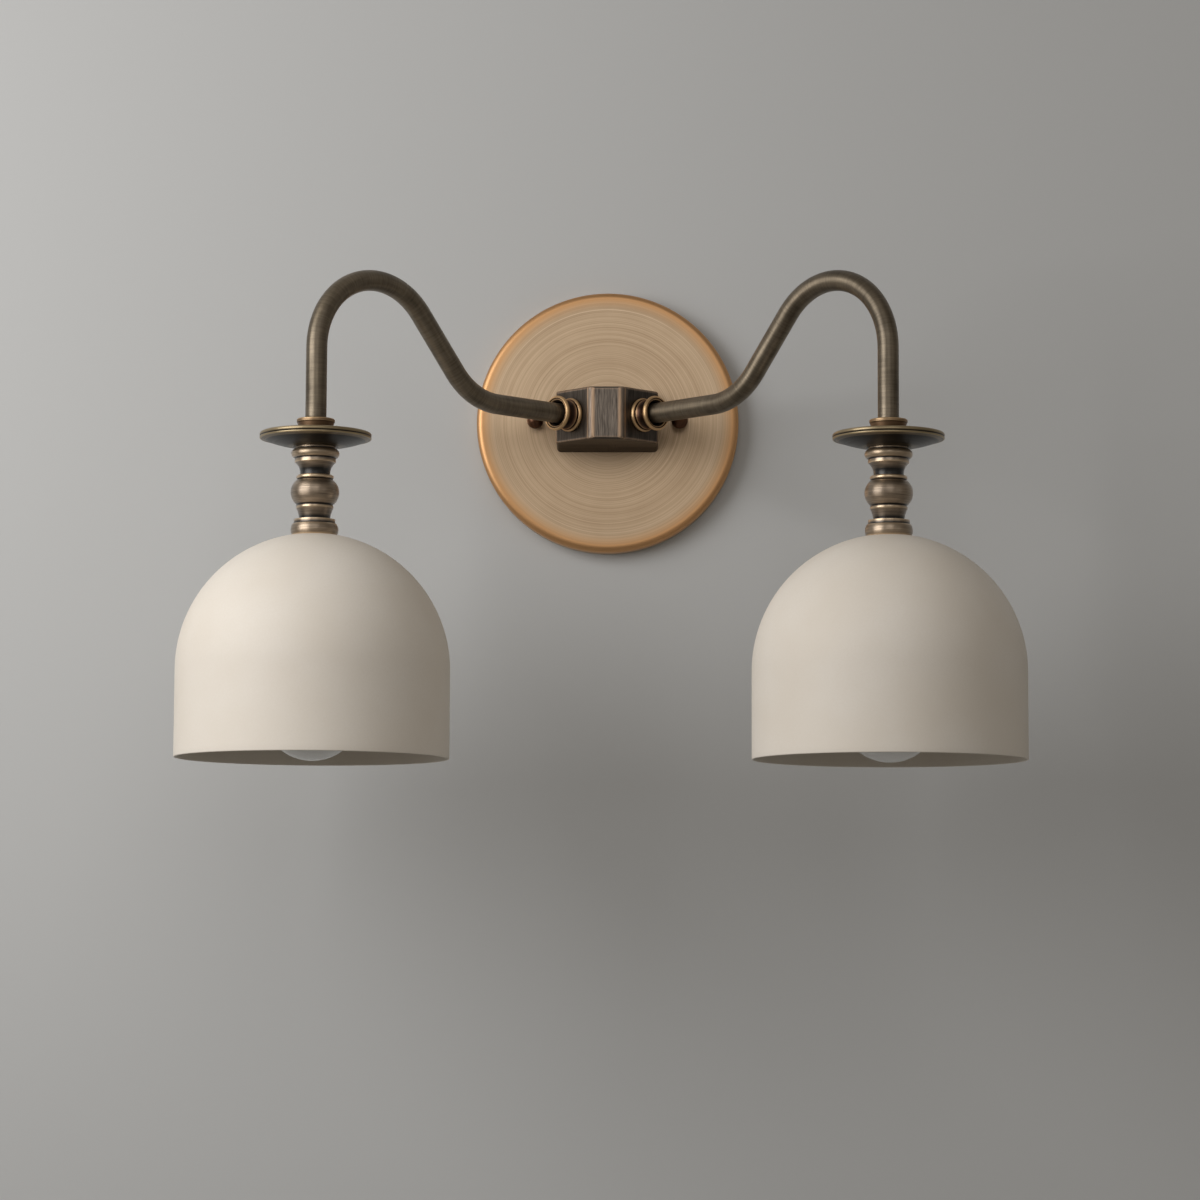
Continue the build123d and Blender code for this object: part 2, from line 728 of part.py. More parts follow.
# ================================================================ lampholder
def make_holder_cap(side, name):
    """Metal cap of the lampholder: a threaded hub on a drawn cup, with a set screw hole."""
    hub = holder_hub_diameter / 2
    bore = nipple_diameter / 2 + thread_clearance
    cup = holder_cup_diameter / 2
    cup_inside = cup - holder_cup_wall
    cup_roof = cup_top - holder_cup_roof
    cup_foot = cup_top - holder_cup_height
    shoulder = holder_shoulder_radius
    with BuildPart() as cap:
        with BuildSketch(lamp_plane(side)):
            with BuildLine():
                Polyline((bore, holder_top), (hub, holder_top), (hub, cup_top), (cup - shoulder, cup_top))
                TangentArc((cup - shoulder, cup_top), (cup, cup_top - shoulder), tangent=(1, 0))
                Polyline(
                    (cup, cup_top - shoulder),
                    (cup, cup_foot),
                    (cup_inside, cup_foot),
                    (cup_inside, cup_top - shoulder),
                    (cup_inside - shoulder / 2, cup_roof),
                    (bore, cup_roof),
                    (bore, holder_top),
                )
            make_face()
        revolve(axis=lamp_axis(side))
        with BuildSketch(set_screw_plane(side, 0)):
            Circle(set_screw_diameter / 2 + thread_clearance)
        extrude(amount=hub, mode=Mode.SUBTRACT)
    save(cap, name)


def set_screw_plane(side, reach):
    """Upright plane square to the set screw, at a reach from the lamp's axis."""
    level = (holder_top + cup_top) / 2
    outwards = arm_direction(side)
    origin = Vector(side * lamp_x, lamp_y, level) + outwards * reach
    return Plane(origin=origin, x_dir=(0, 0, 1), z_dir=outwards)


def make_set_screw(side, name):
    """Headless screw that locks the hub on the nipple, with a driver slot."""
    start = nipple_diameter / 2 + thread_clearance
    length = holder_hub_diameter / 2 - start
    with BuildPart() as screw:
        with BuildSketch(set_screw_plane(side, start)):
            Circle(set_screw_diameter / 2)
        extrude(amount=length)
        with BuildSketch(set_screw_plane(side, start + length)):
            Rectangle(driver_slot_width, set_screw_diameter)
        extrude(amount=-length / 3, mode=Mode.SUBTRACT)
    save(screw, name)


def terminal_plane(side, level):
    """Level plane at a lamp's axis, whose local x points along its pair of terminals."""
    return Plane(origin=(side * lamp_x, lamp_y, level), x_dir=(side * plan_sin, plan_cos, 0), z_dir=(0, 0, 1))


def make_insulator(side, name):
    """Moulded insulating body of the lampholder, open below for the screw shell."""
    foot = insulator_level - insulator_height
    shell_hole = screw_shell_diameter / 2 + slip_clearance
    with BuildPart() as insulator:
        with BuildSketch(lamp_level_plane(side, foot)):
            Circle(insulator_diameter / 2)
        extrude(amount=insulator_height)
        with BuildSketch(lamp_level_plane(side, foot)):
            Circle(shell_hole)
        extrude(amount=insulator_height - insulator_top, mode=Mode.SUBTRACT)
        with BuildSketch(terminal_plane(side, contact_level)):
            with GridLocations(terminal_spacing, 0, 2, 1):
                Circle(terminal_screw_diameter / 2 + thread_clearance)
        extrude(amount=insulator_top, mode=Mode.SUBTRACT)
        chamfer(insulator.faces().sort_by(Axis.Z)[0].edges(), insulator_rim_chamfer)
    save(insulator, name)


def make_screw_shell(side, name):
    """Thin metal screw shell inside the insulating body."""
    shell_top = contact_level - slip_clearance
    with BuildPart() as shell:
        with BuildSketch(lamp_level_plane(side, shell_top - screw_shell_length)):
            Circle(screw_shell_diameter / 2)
            Circle(screw_shell_diameter / 2 - screw_shell_wall, mode=Mode.SUBTRACT)
        extrude(amount=screw_shell_length)
    save(shell, name)


def make_contact(side, name):
    """Springy centre contact: a flat foot under the insulator's roof and a sprung pad."""
    foot_end = terminal_spacing / 2 - terminal_screw_diameter
    pad = contact_pad_length
    roof = contact_level
    spring = contact_level - contact_reach + contact_thickness
    with BuildPart() as contact:
        with BuildSketch(lamp_plane(side)):
            with BuildLine():
                Polyline(
                    (-foot_end, roof),
                    (-pad, roof),
                    (0, spring),
                    (pad, spring),
                    (pad, spring - contact_thickness),
                    (-contact_thickness, spring - contact_thickness),
                    (-pad - contact_thickness, roof - contact_thickness),
                    (-foot_end, roof - contact_thickness),
                    close=True,
                )
            make_face()
        extrude(amount=contact_width / 2, both=True)
    save(contact, name)


def make_terminals(side, name):
    """Pair of terminal screws on the insulator's roof, their heads over the lead ends."""
    head_level = insulator_level + 2 * slip_clearance + lead_diameter
    with BuildPart() as terminals:
        with BuildSketch(terminal_plane(side, contact_level)):
            with GridLocations(terminal_spacing, 0, 2, 1):
                Circle(terminal_screw_diameter / 2)
        extrude(amount=head_level - contact_level)
        with BuildSketch(terminal_plane(side, head_level)):
            with GridLocations(terminal_spacing, 0, 2, 1):
                Circle(terminal_head_diameter / 2)
        extrude(amount=terminal_head_height)
        with BuildSketch(terminal_plane(side, head_level + terminal_head_height / 2)):
            with GridLocations(terminal_spacing, 0, 2, 1):
                Rectangle(terminal_head_diameter, driver_slot_width)
        extrude(amount=terminal_head_height, mode=Mode.SUBTRACT)
    save(terminals, name)


# ================================================================ bulb
cap_top = bulb_tip_level - tip_height - tip_insulator_height
cap_foot = cap_top - cap_thread_pitch * cap_thread_turns


def make_bulb_glass(side, name):
    """Opal envelope: a ball on a smooth neck, thin-walled and open into the cap."""
    ball = bulb_diameter / 2
    neck = bulb_neck_diameter / 2
    centre = bulb_bottom + ball
    blend_angle = radians(bulb_blend_angle)
    blend = (ball * cos(blend_angle), centre + ball * sin(blend_angle))
    inner_ball = ball - bulb_wall
    inner_blend = (inner_ball * cos(blend_angle), centre + inner_ball * sin(blend_angle))
    with BuildPart() as glass:
        with BuildSketch(lamp_plane(side)):
            with BuildLine():
                ThreePointArc((0, bulb_bottom), (ball, centre), blend)
                TangentArc((neck, cap_foot), blend, tangent=(0, -1))
                Line((neck, cap_foot), (neck - bulb_wall, cap_foot))
                TangentArc((neck - bulb_wall, cap_foot), inner_blend, tangent=(0, -1))
                ThreePointArc((0, bulb_bottom + bulb_wall), (inner_ball, centre), inner_blend)
                Line((0, bulb_bottom + bulb_wall), (0, bulb_bottom))
            make_face()
        revolve(axis=lamp_axis(side))
    save(glass, name)


def make_bulb_cap(side, name):
    """Rolled screw cap of the bulb, with one ridge for each turn of its thread."""
    crest = cap_diameter / 2
    root = cap_root_diameter / 2
    inside = root - cap_wall
    insulator = tip_diameter / 2 + cap_wall
    with BuildPart() as cap:
        with BuildSketch(lamp_plane(side)):
            with BuildLine():
                for turn in range(cap_thread_turns):
                    level = cap_foot + turn * cap_thread_pitch
                    turned_bead(level, level + cap_thread_pitch, root, crest)
                Polyline(
                    (root, cap_top),
                    (insulator, cap_top + tip_insulator_height),
                    (insulator - cap_wall, cap_top + tip_insulator_height),
                    (inside, cap_top),
                    (inside, cap_foot),
                    (root, cap_foot),
                )
            make_face()
        revolve(axis=lamp_axis(side))
    save(cap, name)


def make_bulb_tip(side, name):
    """Insulating button of the bulb with the solder contact on it."""
    button = tip_diameter / 2 - slip_clearance
    level = cap_top + tip_insulator_height
    with BuildPart() as tip:
        with BuildSketch(lamp_plane(side)):
            with BuildLine():
                Line((0, cap_top + tip_insulator_height / 2), (button, cap_top + tip_insulator_height / 2))
                Line((button, cap_top + tip_insulator_height / 2), (button, level))
                Line((button, level), (solder_diameter / 2, level))
                TangentArc((0, level + tip_height), (solder_diameter / 2, level), tangent=(1, 0))
                Line((0, level + tip_height), (0, cap_top + tip_insulator_height / 2))
            make_face()
        revolve(axis=lamp_axis(side))
    save(tip, name)


# ================================================================ leads
def make_lead(side, polarity, name):
    """One insulated lead: terminal, nipple, neck, arm, body, bushing and wire nut."""
    foot_x, leg_top = arm_corners()
    half_gap = polarity * lead_spacing / 2
    plane = arm_plane(side, half_gap)
    outer_end = polarity * (terminal_spacing - terminal_screw_diameter) / 2 - polarity * slip_clearance
    sideways = Vector(side * plan_sin, plan_cos, 0) * (outer_end - half_gap)
    in_nipple = plane.from_local_coords(Vector(arm_reach, terminal_level, 0))
    at_tube_mouth = plane.from_local_coords(Vector(face_reach - tube_engagement, 0, 0))
    pass_x = side * lead_spacing / 2
    run = abs(at_tube_mouth.X - pass_x)
    turn_y = at_tube_mouth.Y + run * tan(radians(arm_angle))
    level = polarity * lead_level
    with BuildPart() as lead:
        with BuildLine():
            route = FilletPolyline(
                in_nipple + sideways,
                in_nipple,
                plane.from_local_coords(Vector(arm_reach, leg_top, 0)),
                plane.from_local_coords(Vector(foot_x, 0, 0)),
                at_tube_mouth,
                Vector(pass_x, turn_y, level),
                Vector(pass_x, -lead_plate_depth, level),
                Vector(pass_x, -lead_plate_depth, polarity * lead_end_level),
                radius=[
                    lead_bend_radius,
                    arm_bend_radius,
                    arm_bend_radius,
                    lead_body_bend_radius,
                    lead_bend_radius,
                    lead_bend_radius,
                ],
            )
        with BuildSketch(Plane(origin=route @ 0, z_dir=route % 0)):
            Circle(lead_diameter / 2)
        sweep(path=route)
    straight_volume = pi * lead_diameter**2 / 4 * route.length
    print(f"{name}: {route.length:.1f} mm long, volume ratio {lead.part.volume / straight_volume:.4f}")
    print(f"{name}: bend radii {lead_bend_radius}, {lead_body_bend_radius} and {arm_bend_radius} mm")
    save(lead, name)


def make_wire_nut(way, name):
    """Ribbed tapered wire nut over the joined lead ends, way 1 above and -1 below the bar."""
    with BuildPart() as nut:
        with BuildSketch(Plane(origin=(0, -lead_plate_depth, way * wire_nut_level), z_dir=(0, 0, way))):
            Circle(wire_nut_diameter / 2)
        extrude(amount=wire_nut_length, taper=wire_nut_taper)
        with BuildSketch(Plane(origin=(0, -lead_plate_depth, way * wire_nut_level), z_dir=(0, 0, way))):
            Circle(wire_nut_bore / 2)
        extrude(amount=wire_nut_bore_depth, mode=Mode.SUBTRACT)
    save(nut, name)


make_wire_nut(1, "live_wire_nut")
make_wire_nut(-1, "neutral_wire_nut")

for side, prefix in ((-1, "left"), (1, "right")):
    make_knob(side, f"{prefix}_knob")
    make_collar(side, f"{prefix}_collar")
    make_arm(side, f"{prefix}_arm")
    make_ring(side, f"{prefix}_ring_collar")
    make_pan(side, f"{prefix}_pan")
    make_neck(side, f"{prefix}_neck")
    make_nipple(side, f"{prefix}_nipple")
    make_shade(side, f"{prefix}_shade")
    make_washer(side, f"{prefix}_shade_washer")
    make_lock_nut(side, f"{prefix}_shade_nut")
    make_holder_cap(side, f"{prefix}_holder_cap")
    make_set_screw(side, f"{prefix}_set_screw")
    make_insulator(side, f"{prefix}_insulator")
    make_screw_shell(side, f"{prefix}_screw_shell")
    make_contact(side, f"{prefix}_centre_contact")
    make_terminals(side, f"{prefix}_terminal_screws")
    make_bulb_glass(side, f"{prefix}_bulb_glass")
    make_bulb_cap(side, f"{prefix}_bulb_cap")
    make_bulb_tip(side, f"{prefix}_bulb_tip")
    make_lead(side, 1, f"{prefix}_live_lead")
    make_lead(side, -1, f"{prefix}_neutral_lead")
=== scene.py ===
"""Looks of the double arm wall sconce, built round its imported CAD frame.

Sizes are written in millimetres, as on a maker's drawing, and go into the meshes in metres.
Frame: origin at the centre of the backplate on the wall, +X to the viewer's right, -Y out of the
wall, +Z up. Turned pieces are outlines of (radius, level) carried round an axis, the tubes are
rings carried along a bent line, and the cast body is a row of rounded rectangles.
"""

import json
import logging
import math
from dataclasses import dataclass
from enum import Enum
from typing import Any, Callable, Optional, Sequence

import bmesh
import bpy
import numpy as np
from mathutils import Matrix, Vector

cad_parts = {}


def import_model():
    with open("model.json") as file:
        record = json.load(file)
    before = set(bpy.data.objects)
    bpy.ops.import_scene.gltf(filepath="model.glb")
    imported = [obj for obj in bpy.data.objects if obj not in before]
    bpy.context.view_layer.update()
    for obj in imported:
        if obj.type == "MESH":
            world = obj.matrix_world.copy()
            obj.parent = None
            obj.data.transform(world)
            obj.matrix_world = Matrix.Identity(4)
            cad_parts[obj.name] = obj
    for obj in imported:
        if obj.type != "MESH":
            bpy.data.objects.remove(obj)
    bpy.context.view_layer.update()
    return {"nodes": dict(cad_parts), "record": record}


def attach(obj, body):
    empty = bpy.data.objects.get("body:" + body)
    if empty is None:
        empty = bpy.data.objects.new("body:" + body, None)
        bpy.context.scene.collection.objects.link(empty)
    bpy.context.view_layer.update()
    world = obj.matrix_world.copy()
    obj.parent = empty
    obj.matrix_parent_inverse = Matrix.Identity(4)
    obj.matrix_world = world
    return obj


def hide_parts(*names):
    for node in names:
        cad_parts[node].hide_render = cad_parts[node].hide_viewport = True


LOG = logging.getLogger("sconce")
MM = 0.001
FIXTURE = "fixture"
WALL_AXIS = Vector((0.0, -1.0, 0.0))
LAMP_AXIS = Vector((0.0, 0.0, 1.0))
SLANT = math.sqrt(0.5)  # share of a radius, both ways, halfway round a quarter circle
SHARP_TURN = math.radians(20)
ROUNDING_SHARE = 0.45  # the most of a run that one corner's rounding may take
ON_AXIS = 1e-6
SAME_POINT_MM = 1e-5
MERGE_M = 2e-6

Array = np.ndarray
Socket = bpy.types.NodeSocket
Swell = Callable[[Array, Array, Array], Array]


class Side(Enum):
    """The two halves of the fixture, with the sign of their X."""

    LEFT = -1
    RIGHT = 1

    @property
    def prefix(self) -> str:
        """Start of the names of this side's pieces."""
        return self.name.lower()


# ---------------------------------------------------------------- shapes as arrays
def arc_through(start: Array, middle: Array, end: Array, spans: int) -> Array:
    """Points of the circle's arc from start through middle to end.

    The centre is where the perpendicular bisectors of the two chords meet, and the points lie at
    even angles round it, on the side of the middle point.

    Args:
        start: First point, (radius, level).
        middle: Any point of the arc.
        end: Last point.
        spans: Number of spans.

    Returns:
        The points after the start, one row each.
    """
    chords = np.array([middle - start, end - start])
    centre = start + np.linalg.solve(chords, (chords**2).sum(axis=1) / 2)
    first, mid, last = (math.atan2(*(p - centre)[::-1]) for p in (start, middle, end))
    turn = (last - first) % math.tau
    if (mid - first) % math.tau > turn:
        turn -= math.tau
    angles = first + turn * np.arange(1, spans + 1) / spans
    radius = np.linalg.norm(start - centre)
    return centre + radius * np.column_stack([np.cos(angles), np.sin(angles)])


def turn_angles(way_in: Array, way_out: Array) -> Array:
    """Signed angle from each row's first direction to its second."""
    cross = way_in[:, 0] * way_out[:, 1] - way_in[:, 1] * way_out[:, 0]
    return np.arctan2(cross, (way_in * way_out).sum(axis=1))


def bell(place: Array, centre: float, width: float) -> Array:
    """A bell curve, 1 at its centre and 1/e at one width from it."""
    return np.exp(-(((place - centre) / width) ** 2))


def run_length(line: Array) -> Array:
    """Distance along an open line at each of its points."""
    return np.concatenate([[0.0], np.cumsum(np.linalg.norm(np.diff(line, axis=0), axis=1))])


def divided(points: Array, spacing: float, closed: bool) -> Array:
    """Drops doubled points of a line and divides its long runs evenly.

    Args:
        points: The line, one row to a point.
        spacing: Longest run that stays undivided.
        closed: Whether the last point runs back to the first.

    Returns:
        The new line, one row to a point.
    """
    gap = np.linalg.norm(points - np.roll(points, 1, axis=0), axis=1)
    gap[0] = gap[0] if closed else 1.0
    points = points[gap > SAME_POINT_MM]
    ends = np.roll(points, -1, axis=0)
    runs = np.linalg.norm(ends - points, axis=1)
    if not closed:
        points, ends, runs = points[:-1], ends[:-1], runs[:-1]
    counts = np.maximum(1, np.ceil(runs / spacing)).astype(int)
    which = np.repeat(np.arange(len(points)), counts)
    step = np.arange(len(which)) - np.repeat(np.cumsum(counts) - counts, counts)
    share = (step / counts[which])[:, None]
    line = points[which] * (1 - share) + ends[which] * share
    return line if closed else np.vstack([line, ends[-1:]])


def drawn(*steps: Sequence, base: float = 0.0) -> Array:
    """Points of an outline in (radius, level), in millimetres, run with the material on its left.

    Args:
        *steps: (radius, level) for a corner, or (middle, end, spans) for an arc to the end point.
        base: Level from which the given levels count.

    Returns:
        The points, one row each.
    """
    points = np.array([steps[0]], dtype=float)
    for step in steps[1:]:
        if len(step) == 3:
            middle, end, spans = step
            rows = arc_through(points[-1], np.array(middle, float), np.array(end, float), spans)
        else:
            rows = np.array([step], dtype=float)
        points = np.vstack([points, rows])
    return points + (0.0, base)


def softened(corner: Array, edge: float, spacing: float, spans: int = 4) -> Array:
    """Rounds the sharp corners of a closed outline, then divides its long runs.

    A corner that turns by a starts its arc edge * tan(a / 2) before the corner and ends it as far
    after. Points on the axis keep their place.

    Args:
        corner: The outline, one row to a point.
        edge: Radius of the rounding.
        spacing: Longest run that stays undivided.
        spans: Spans in each rounding.

    Returns:
        The finished outline, one row to a point.
    """
    before, after = corner - np.roll(corner, 1, axis=0), np.roll(corner, -1, axis=0) - corner
    length_in, length_out = np.linalg.norm(before, axis=1), np.linalg.norm(after, axis=1)
    way_in, way_out = before / length_in[:, None], after / length_out[:, None]
    turn = turn_angles(way_in, way_out)
    sharp = (np.abs(turn) > SHARP_TURN) & (corner[:, 0] > ON_AXIS)
    half = np.tan(np.abs(turn) / 2)
    longest = ROUNDING_SHARE * np.minimum(length_in, length_out)
    reach = np.where(sharp, np.minimum(edge * half, longest), 0)
    radius = reach / np.maximum(half, ON_AXIS)
    first = corner - way_in * reach[:, None]
    normal = np.column_stack([-way_in[:, 1], way_in[:, 0]]) * np.sign(turn)[:, None]
    centre = first + normal * radius[:, None]
    angle = turn[:, None] * np.linspace(0, 1, spans + 1)
    arm = first - centre
    x = arm[:, :1] * np.cos(angle) - arm[:, 1:] * np.sin(angle)
    y = arm[:, :1] * np.sin(angle) + arm[:, 1:] * np.cos(angle)
    rounded = (centre[:, None] + np.stack([x, y], axis=-1)).reshape(-1, 2)
    return divided(rounded, spacing, closed=True)


def edge_wear(line: Array, spread: float) -> Array:
    """How much each point of a closed outline is rubbed bright, or darkened where it is negative.

    Each corner's turn, positive where the outline bulges, is spread along the outline by a bell
    curve, so an arris comes out near +1 and a groove near -1.

    Args:
        line: The outline, one row to a point.
        spread: Width of the bell curve, in millimetres.

    Returns:
        One value to a point, from -1 to 1.
    """
    turn = turn_angles(line - np.roll(line, 1, axis=0), np.roll(line, -1, axis=0) - line)
    turn[line[:, 0] < ON_AXIS] = 0.0
    place = run_length(line)
    total = place[-1] + np.linalg.norm(line[0] - line[-1])
    apart = np.abs(place[:, None] - place[None, :])
    apart = np.minimum(apart, total - apart)
    return np.clip((bell(apart, 0.0, spread) * turn[None, :]).sum(axis=1), -1, 1)


def thread(crest: float, pitch: float, start: float, share: Callable[[Array, Array], Any]) -> Swell:
    """A thread as a ripple of the radius by the level, which climbs one pitch to a turn.

    Args:
        crest: Height of the ripple in millimetres, negative where it is cut into the surface.
        pitch: Level between two crests.
        start: Level of a crest at angle 0.
        share: How much of the ripple shows, worked out from radius and level.

    Returns:
        The radius to add, worked out from angle, radius and level.
    """

    def ripple(angle: Array, radius: Array, level: Array) -> Array:
        """The ripple's height at each point."""
        wave = np.cos(math.tau * (level - start) / pitch - angle)
        return crest / 2 * (1 + wave) * share(radius, level)

    return ripple


# ---------------------------------------------------------------- meshes
def placed(name: str, data: Any) -> bpy.types.Object:
    """Links a new object to the scene.

    Args:
        name: Name of the new object.
        data: Its mesh, camera or light.

    Returns:
        The new object.
    """
    item = bpy.data.objects.new(name, data)
    bpy.context.scene.collection.objects.link(item)
    return item


def grid_object(name: str, grid: Array) -> bpy.types.Object:
    """Makes a closed mesh of a grid of points whose rows and columns both run round.

    Args:
        name: Name of the new object.
        grid: Points in metres, (rows, columns, 3).

    Returns:
        The new object, its faces pointing outwards.
    """
    rows, columns = grid.shape[:2]
    low = np.arange(rows * columns).reshape(rows, columns)
    high = np.roll(low, -1, axis=0)
    quads = np.stack([low, np.roll(low, -1, 1), np.roll(high, -1, 1), high], axis=-1).reshape(-1, 4)
    points = grid.reshape(-1, 3)
    corner = points[quads]
    around = np.cross(corner[:, 1] - corner[:, 0], corner[:, 2] - corner[:, 0])
    around += np.cross(corner[:, 2] - corner[:, 0], corner[:, 3] - corner[:, 0])
    if (around * corner.mean(axis=1)).sum() < 0:
        quads = quads[:, ::-1]
    mesh = bpy.data.meshes.new(name)
    mesh.vertices.add(len(points))
    mesh.vertices.foreach_set("co", points.astype(np.float32).ravel())
    mesh.loops.add(quads.size)
    mesh.loops.foreach_set("vertex_index", quads.ravel().astype(np.int32))
    mesh.polygons.add(len(quads))
    mesh.polygons.foreach_set("loop_start", np.arange(0, quads.size, 4, dtype=np.int32))
    mesh.update(calc_edges=True)
    return placed(name, mesh)


def close_and_smooth(piece: bpy.types.Object, angle: float = 40.0) -> None:
    """Merges poles and seams, shades the mesh smooth and keeps edges over an angle sharp.

    Args:
        piece: The object.
        angle: The angle, in degrees.
    """
    work = bmesh.new()
    work.from_mesh(piece.data)
    bmesh.ops.remove_doubles(work, verts=work.verts, dist=MERGE_M)
    work.to_mesh(piece.data)
    work.free()
    piece.data.shade_smooth()
    piece.data.set_sharp_from_angle(angle=math.radians(angle))


def write_fields(piece: bpy.types.Object, grain: Array, lay: Array, wear_and_shade: Array) -> None:
    """Stores what the metal finishes read at each vertex, in place of any older fields.

    Args:
        piece: The object.
        grain: Places in millimetres of which lines of equal third value are tool marks.
        lay: Directions across the tool marks.
        wear_and_shade: 1 where the metal is rubbed bright, 0 elsewhere, -1 where dark film stays; on some
            pieces it also holds painted light above 0 and painted shade below 0.
    """
    fields = {
        "grain": ("FLOAT_VECTOR", "vector", grain * MM),
        "lay": ("FLOAT_VECTOR", "vector", lay),
        "wear_and_shade": ("FLOAT", "value", np.clip(wear_and_shade, -1, 1)),
    }
    layers = piece.data.attributes
    for name, (kind, key, values) in fields.items():
        if name in layers:
            layers.remove(layers[name])
        layer = layers.new(name, kind, "POINT")
        layer.data.foreach_set(key, values.astype(np.float32).ravel())


def read_vectors(layer: bpy.types.bpy_prop_collection, key: str) -> Array:
    """Reads a vector of each vertex.

    Args:
        layer: The mesh's vertices.
        key: Name of the vector.

    Returns:
        The vectors, one row each.
    """
    values = np.empty(len(layer) * 3, dtype=np.float32)
    layer.foreach_get(key, values)
    return values.reshape(-1, 3)


def turned(
    name: str,
    line: Array,
    origin: Vector,
    axis: Vector,
    segments: int = 128,
    spread: float = 0.5,
    swell: Optional[Swell] = None,
    film: Optional[Callable[[Array], Array]] = None,
) -> bpy.types.Object:
    """Turns a closed outline round an axis.

    A point (radius r, level l) at angle a goes to origin + l * axis + r * (cos a, sin a) across the
    axis. The grain is (r cos a, r sin a, distance along the outline), so tool marks run round the
    piece, and the lay follows the outline.

    Args:
        name: Name of the new object.
        line: The outline in millimetres.
        origin: A point of the axis, in metres, where the level is 0.
        axis: Unit vector of the axis.
        segments: Spans round the axis.
        spread: Width of the worn band along an edge, in millimetres.
        swell: Radius to add, in millimetres, worked out from angle, radius and level.
        film: Wear to add at each point of the outline, negative where dark film stays; on the pan it also
            adds painted shade.

    Returns:
        The new object.
    """
    angle = np.arange(segments) * math.tau / segments
    radius = np.repeat(line[:, :1], segments, axis=1)
    level = np.repeat(line[:, 1:], segments, axis=1)
    if swell is not None:
        radius = radius + swell(angle[None, :], radius, level)
    first = axis.orthogonal().normalized()
    second = axis.cross(first)
    out = np.cos(angle)[:, None] * np.array(first) + np.sin(angle)[:, None] * np.array(second)
    grid = np.array(origin) + MM * (level[..., None] * np.array(axis) + radius[..., None] * out)
    piece = grid_object(name, grid)
    along = np.repeat(run_length(line)[:, None], segments, axis=1)
    grain = np.stack([radius * np.cos(angle), radius * np.sin(angle), along], axis=-1)
    way = np.roll(line, -1, axis=0) - np.roll(line, 1, axis=0)
    way = (way / np.linalg.norm(way, axis=1)[:, None])[:, None]
    lay = way[..., :1] * out + way[..., 1:] * np.array(axis)
    wear_and_shade = edge_wear(line, spread) + (0 if film is None else film(line))
    write_fields(piece, grain, lay, np.repeat(wear_and_shade, segments))
    close_and_smooth(piece)
    return piece


def cut(piece: bpy.types.Object, cutters: Sequence[bpy.types.Object]) -> None:
    """Cuts other objects out of a piece for good, and removes them.

    Args:
        piece: The object to cut.
        cutters: The objects to take out of it.
    """
    for cutter in cutters:
        step = piece.modifiers.new("hole", "BOOLEAN")
        step.operation, step.solver, step.object = "DIFFERENCE", "EXACT", cutter
    graph = bpy.context.evaluated_depsgraph_get()
    shape = bpy.data.meshes.new_from_object(piece.evaluated_get(graph))
    shape.name = piece.name
    piece.modifiers.clear()
    piece.data = shape
    for cutter in cutters:
        bpy.data.objects.remove(cutter)


# ---------------------------------------------------------------- finishes
def linear(code: str) -> tuple[float, float, float, float]:
    """Turns an sRGB hex colour into linear light.

    Args:
        code: The colour, such as "#B39779".

    Returns:
        Red, green, blue and a full alpha.
    """
    srgb = [int(code.lstrip("#")[i : i + 2], 16) / 255 for i in (0, 2, 4)]
    light = [c / 12.92 if c <= 0.04045 else ((c + 0.055) / 1.055) ** 2.4 for c in srgb]
    return (*light, 1.0)


def add_node(tree: bpy.types.NodeTree, kind: str, inputs: dict, **settings: Any) -> bpy.types.Node:
    """Adds a shader node.

    Args:
        tree: The material's or world's node tree.
        kind: Blender's name of the node type.
        inputs: Socket name or number to a value, or to the output socket that feeds it.
        **settings: The node's own settings.

    Returns:
        The new node.
    """
    node = tree.nodes.new(kind)
    for key, value in settings.items():
        setattr(node, key, value)
    for key, value in inputs.items():
        if isinstance(value, Socket):
            tree.links.new(value, node.inputs[key])
        else:
            node.inputs[key].default_value = value
    return node


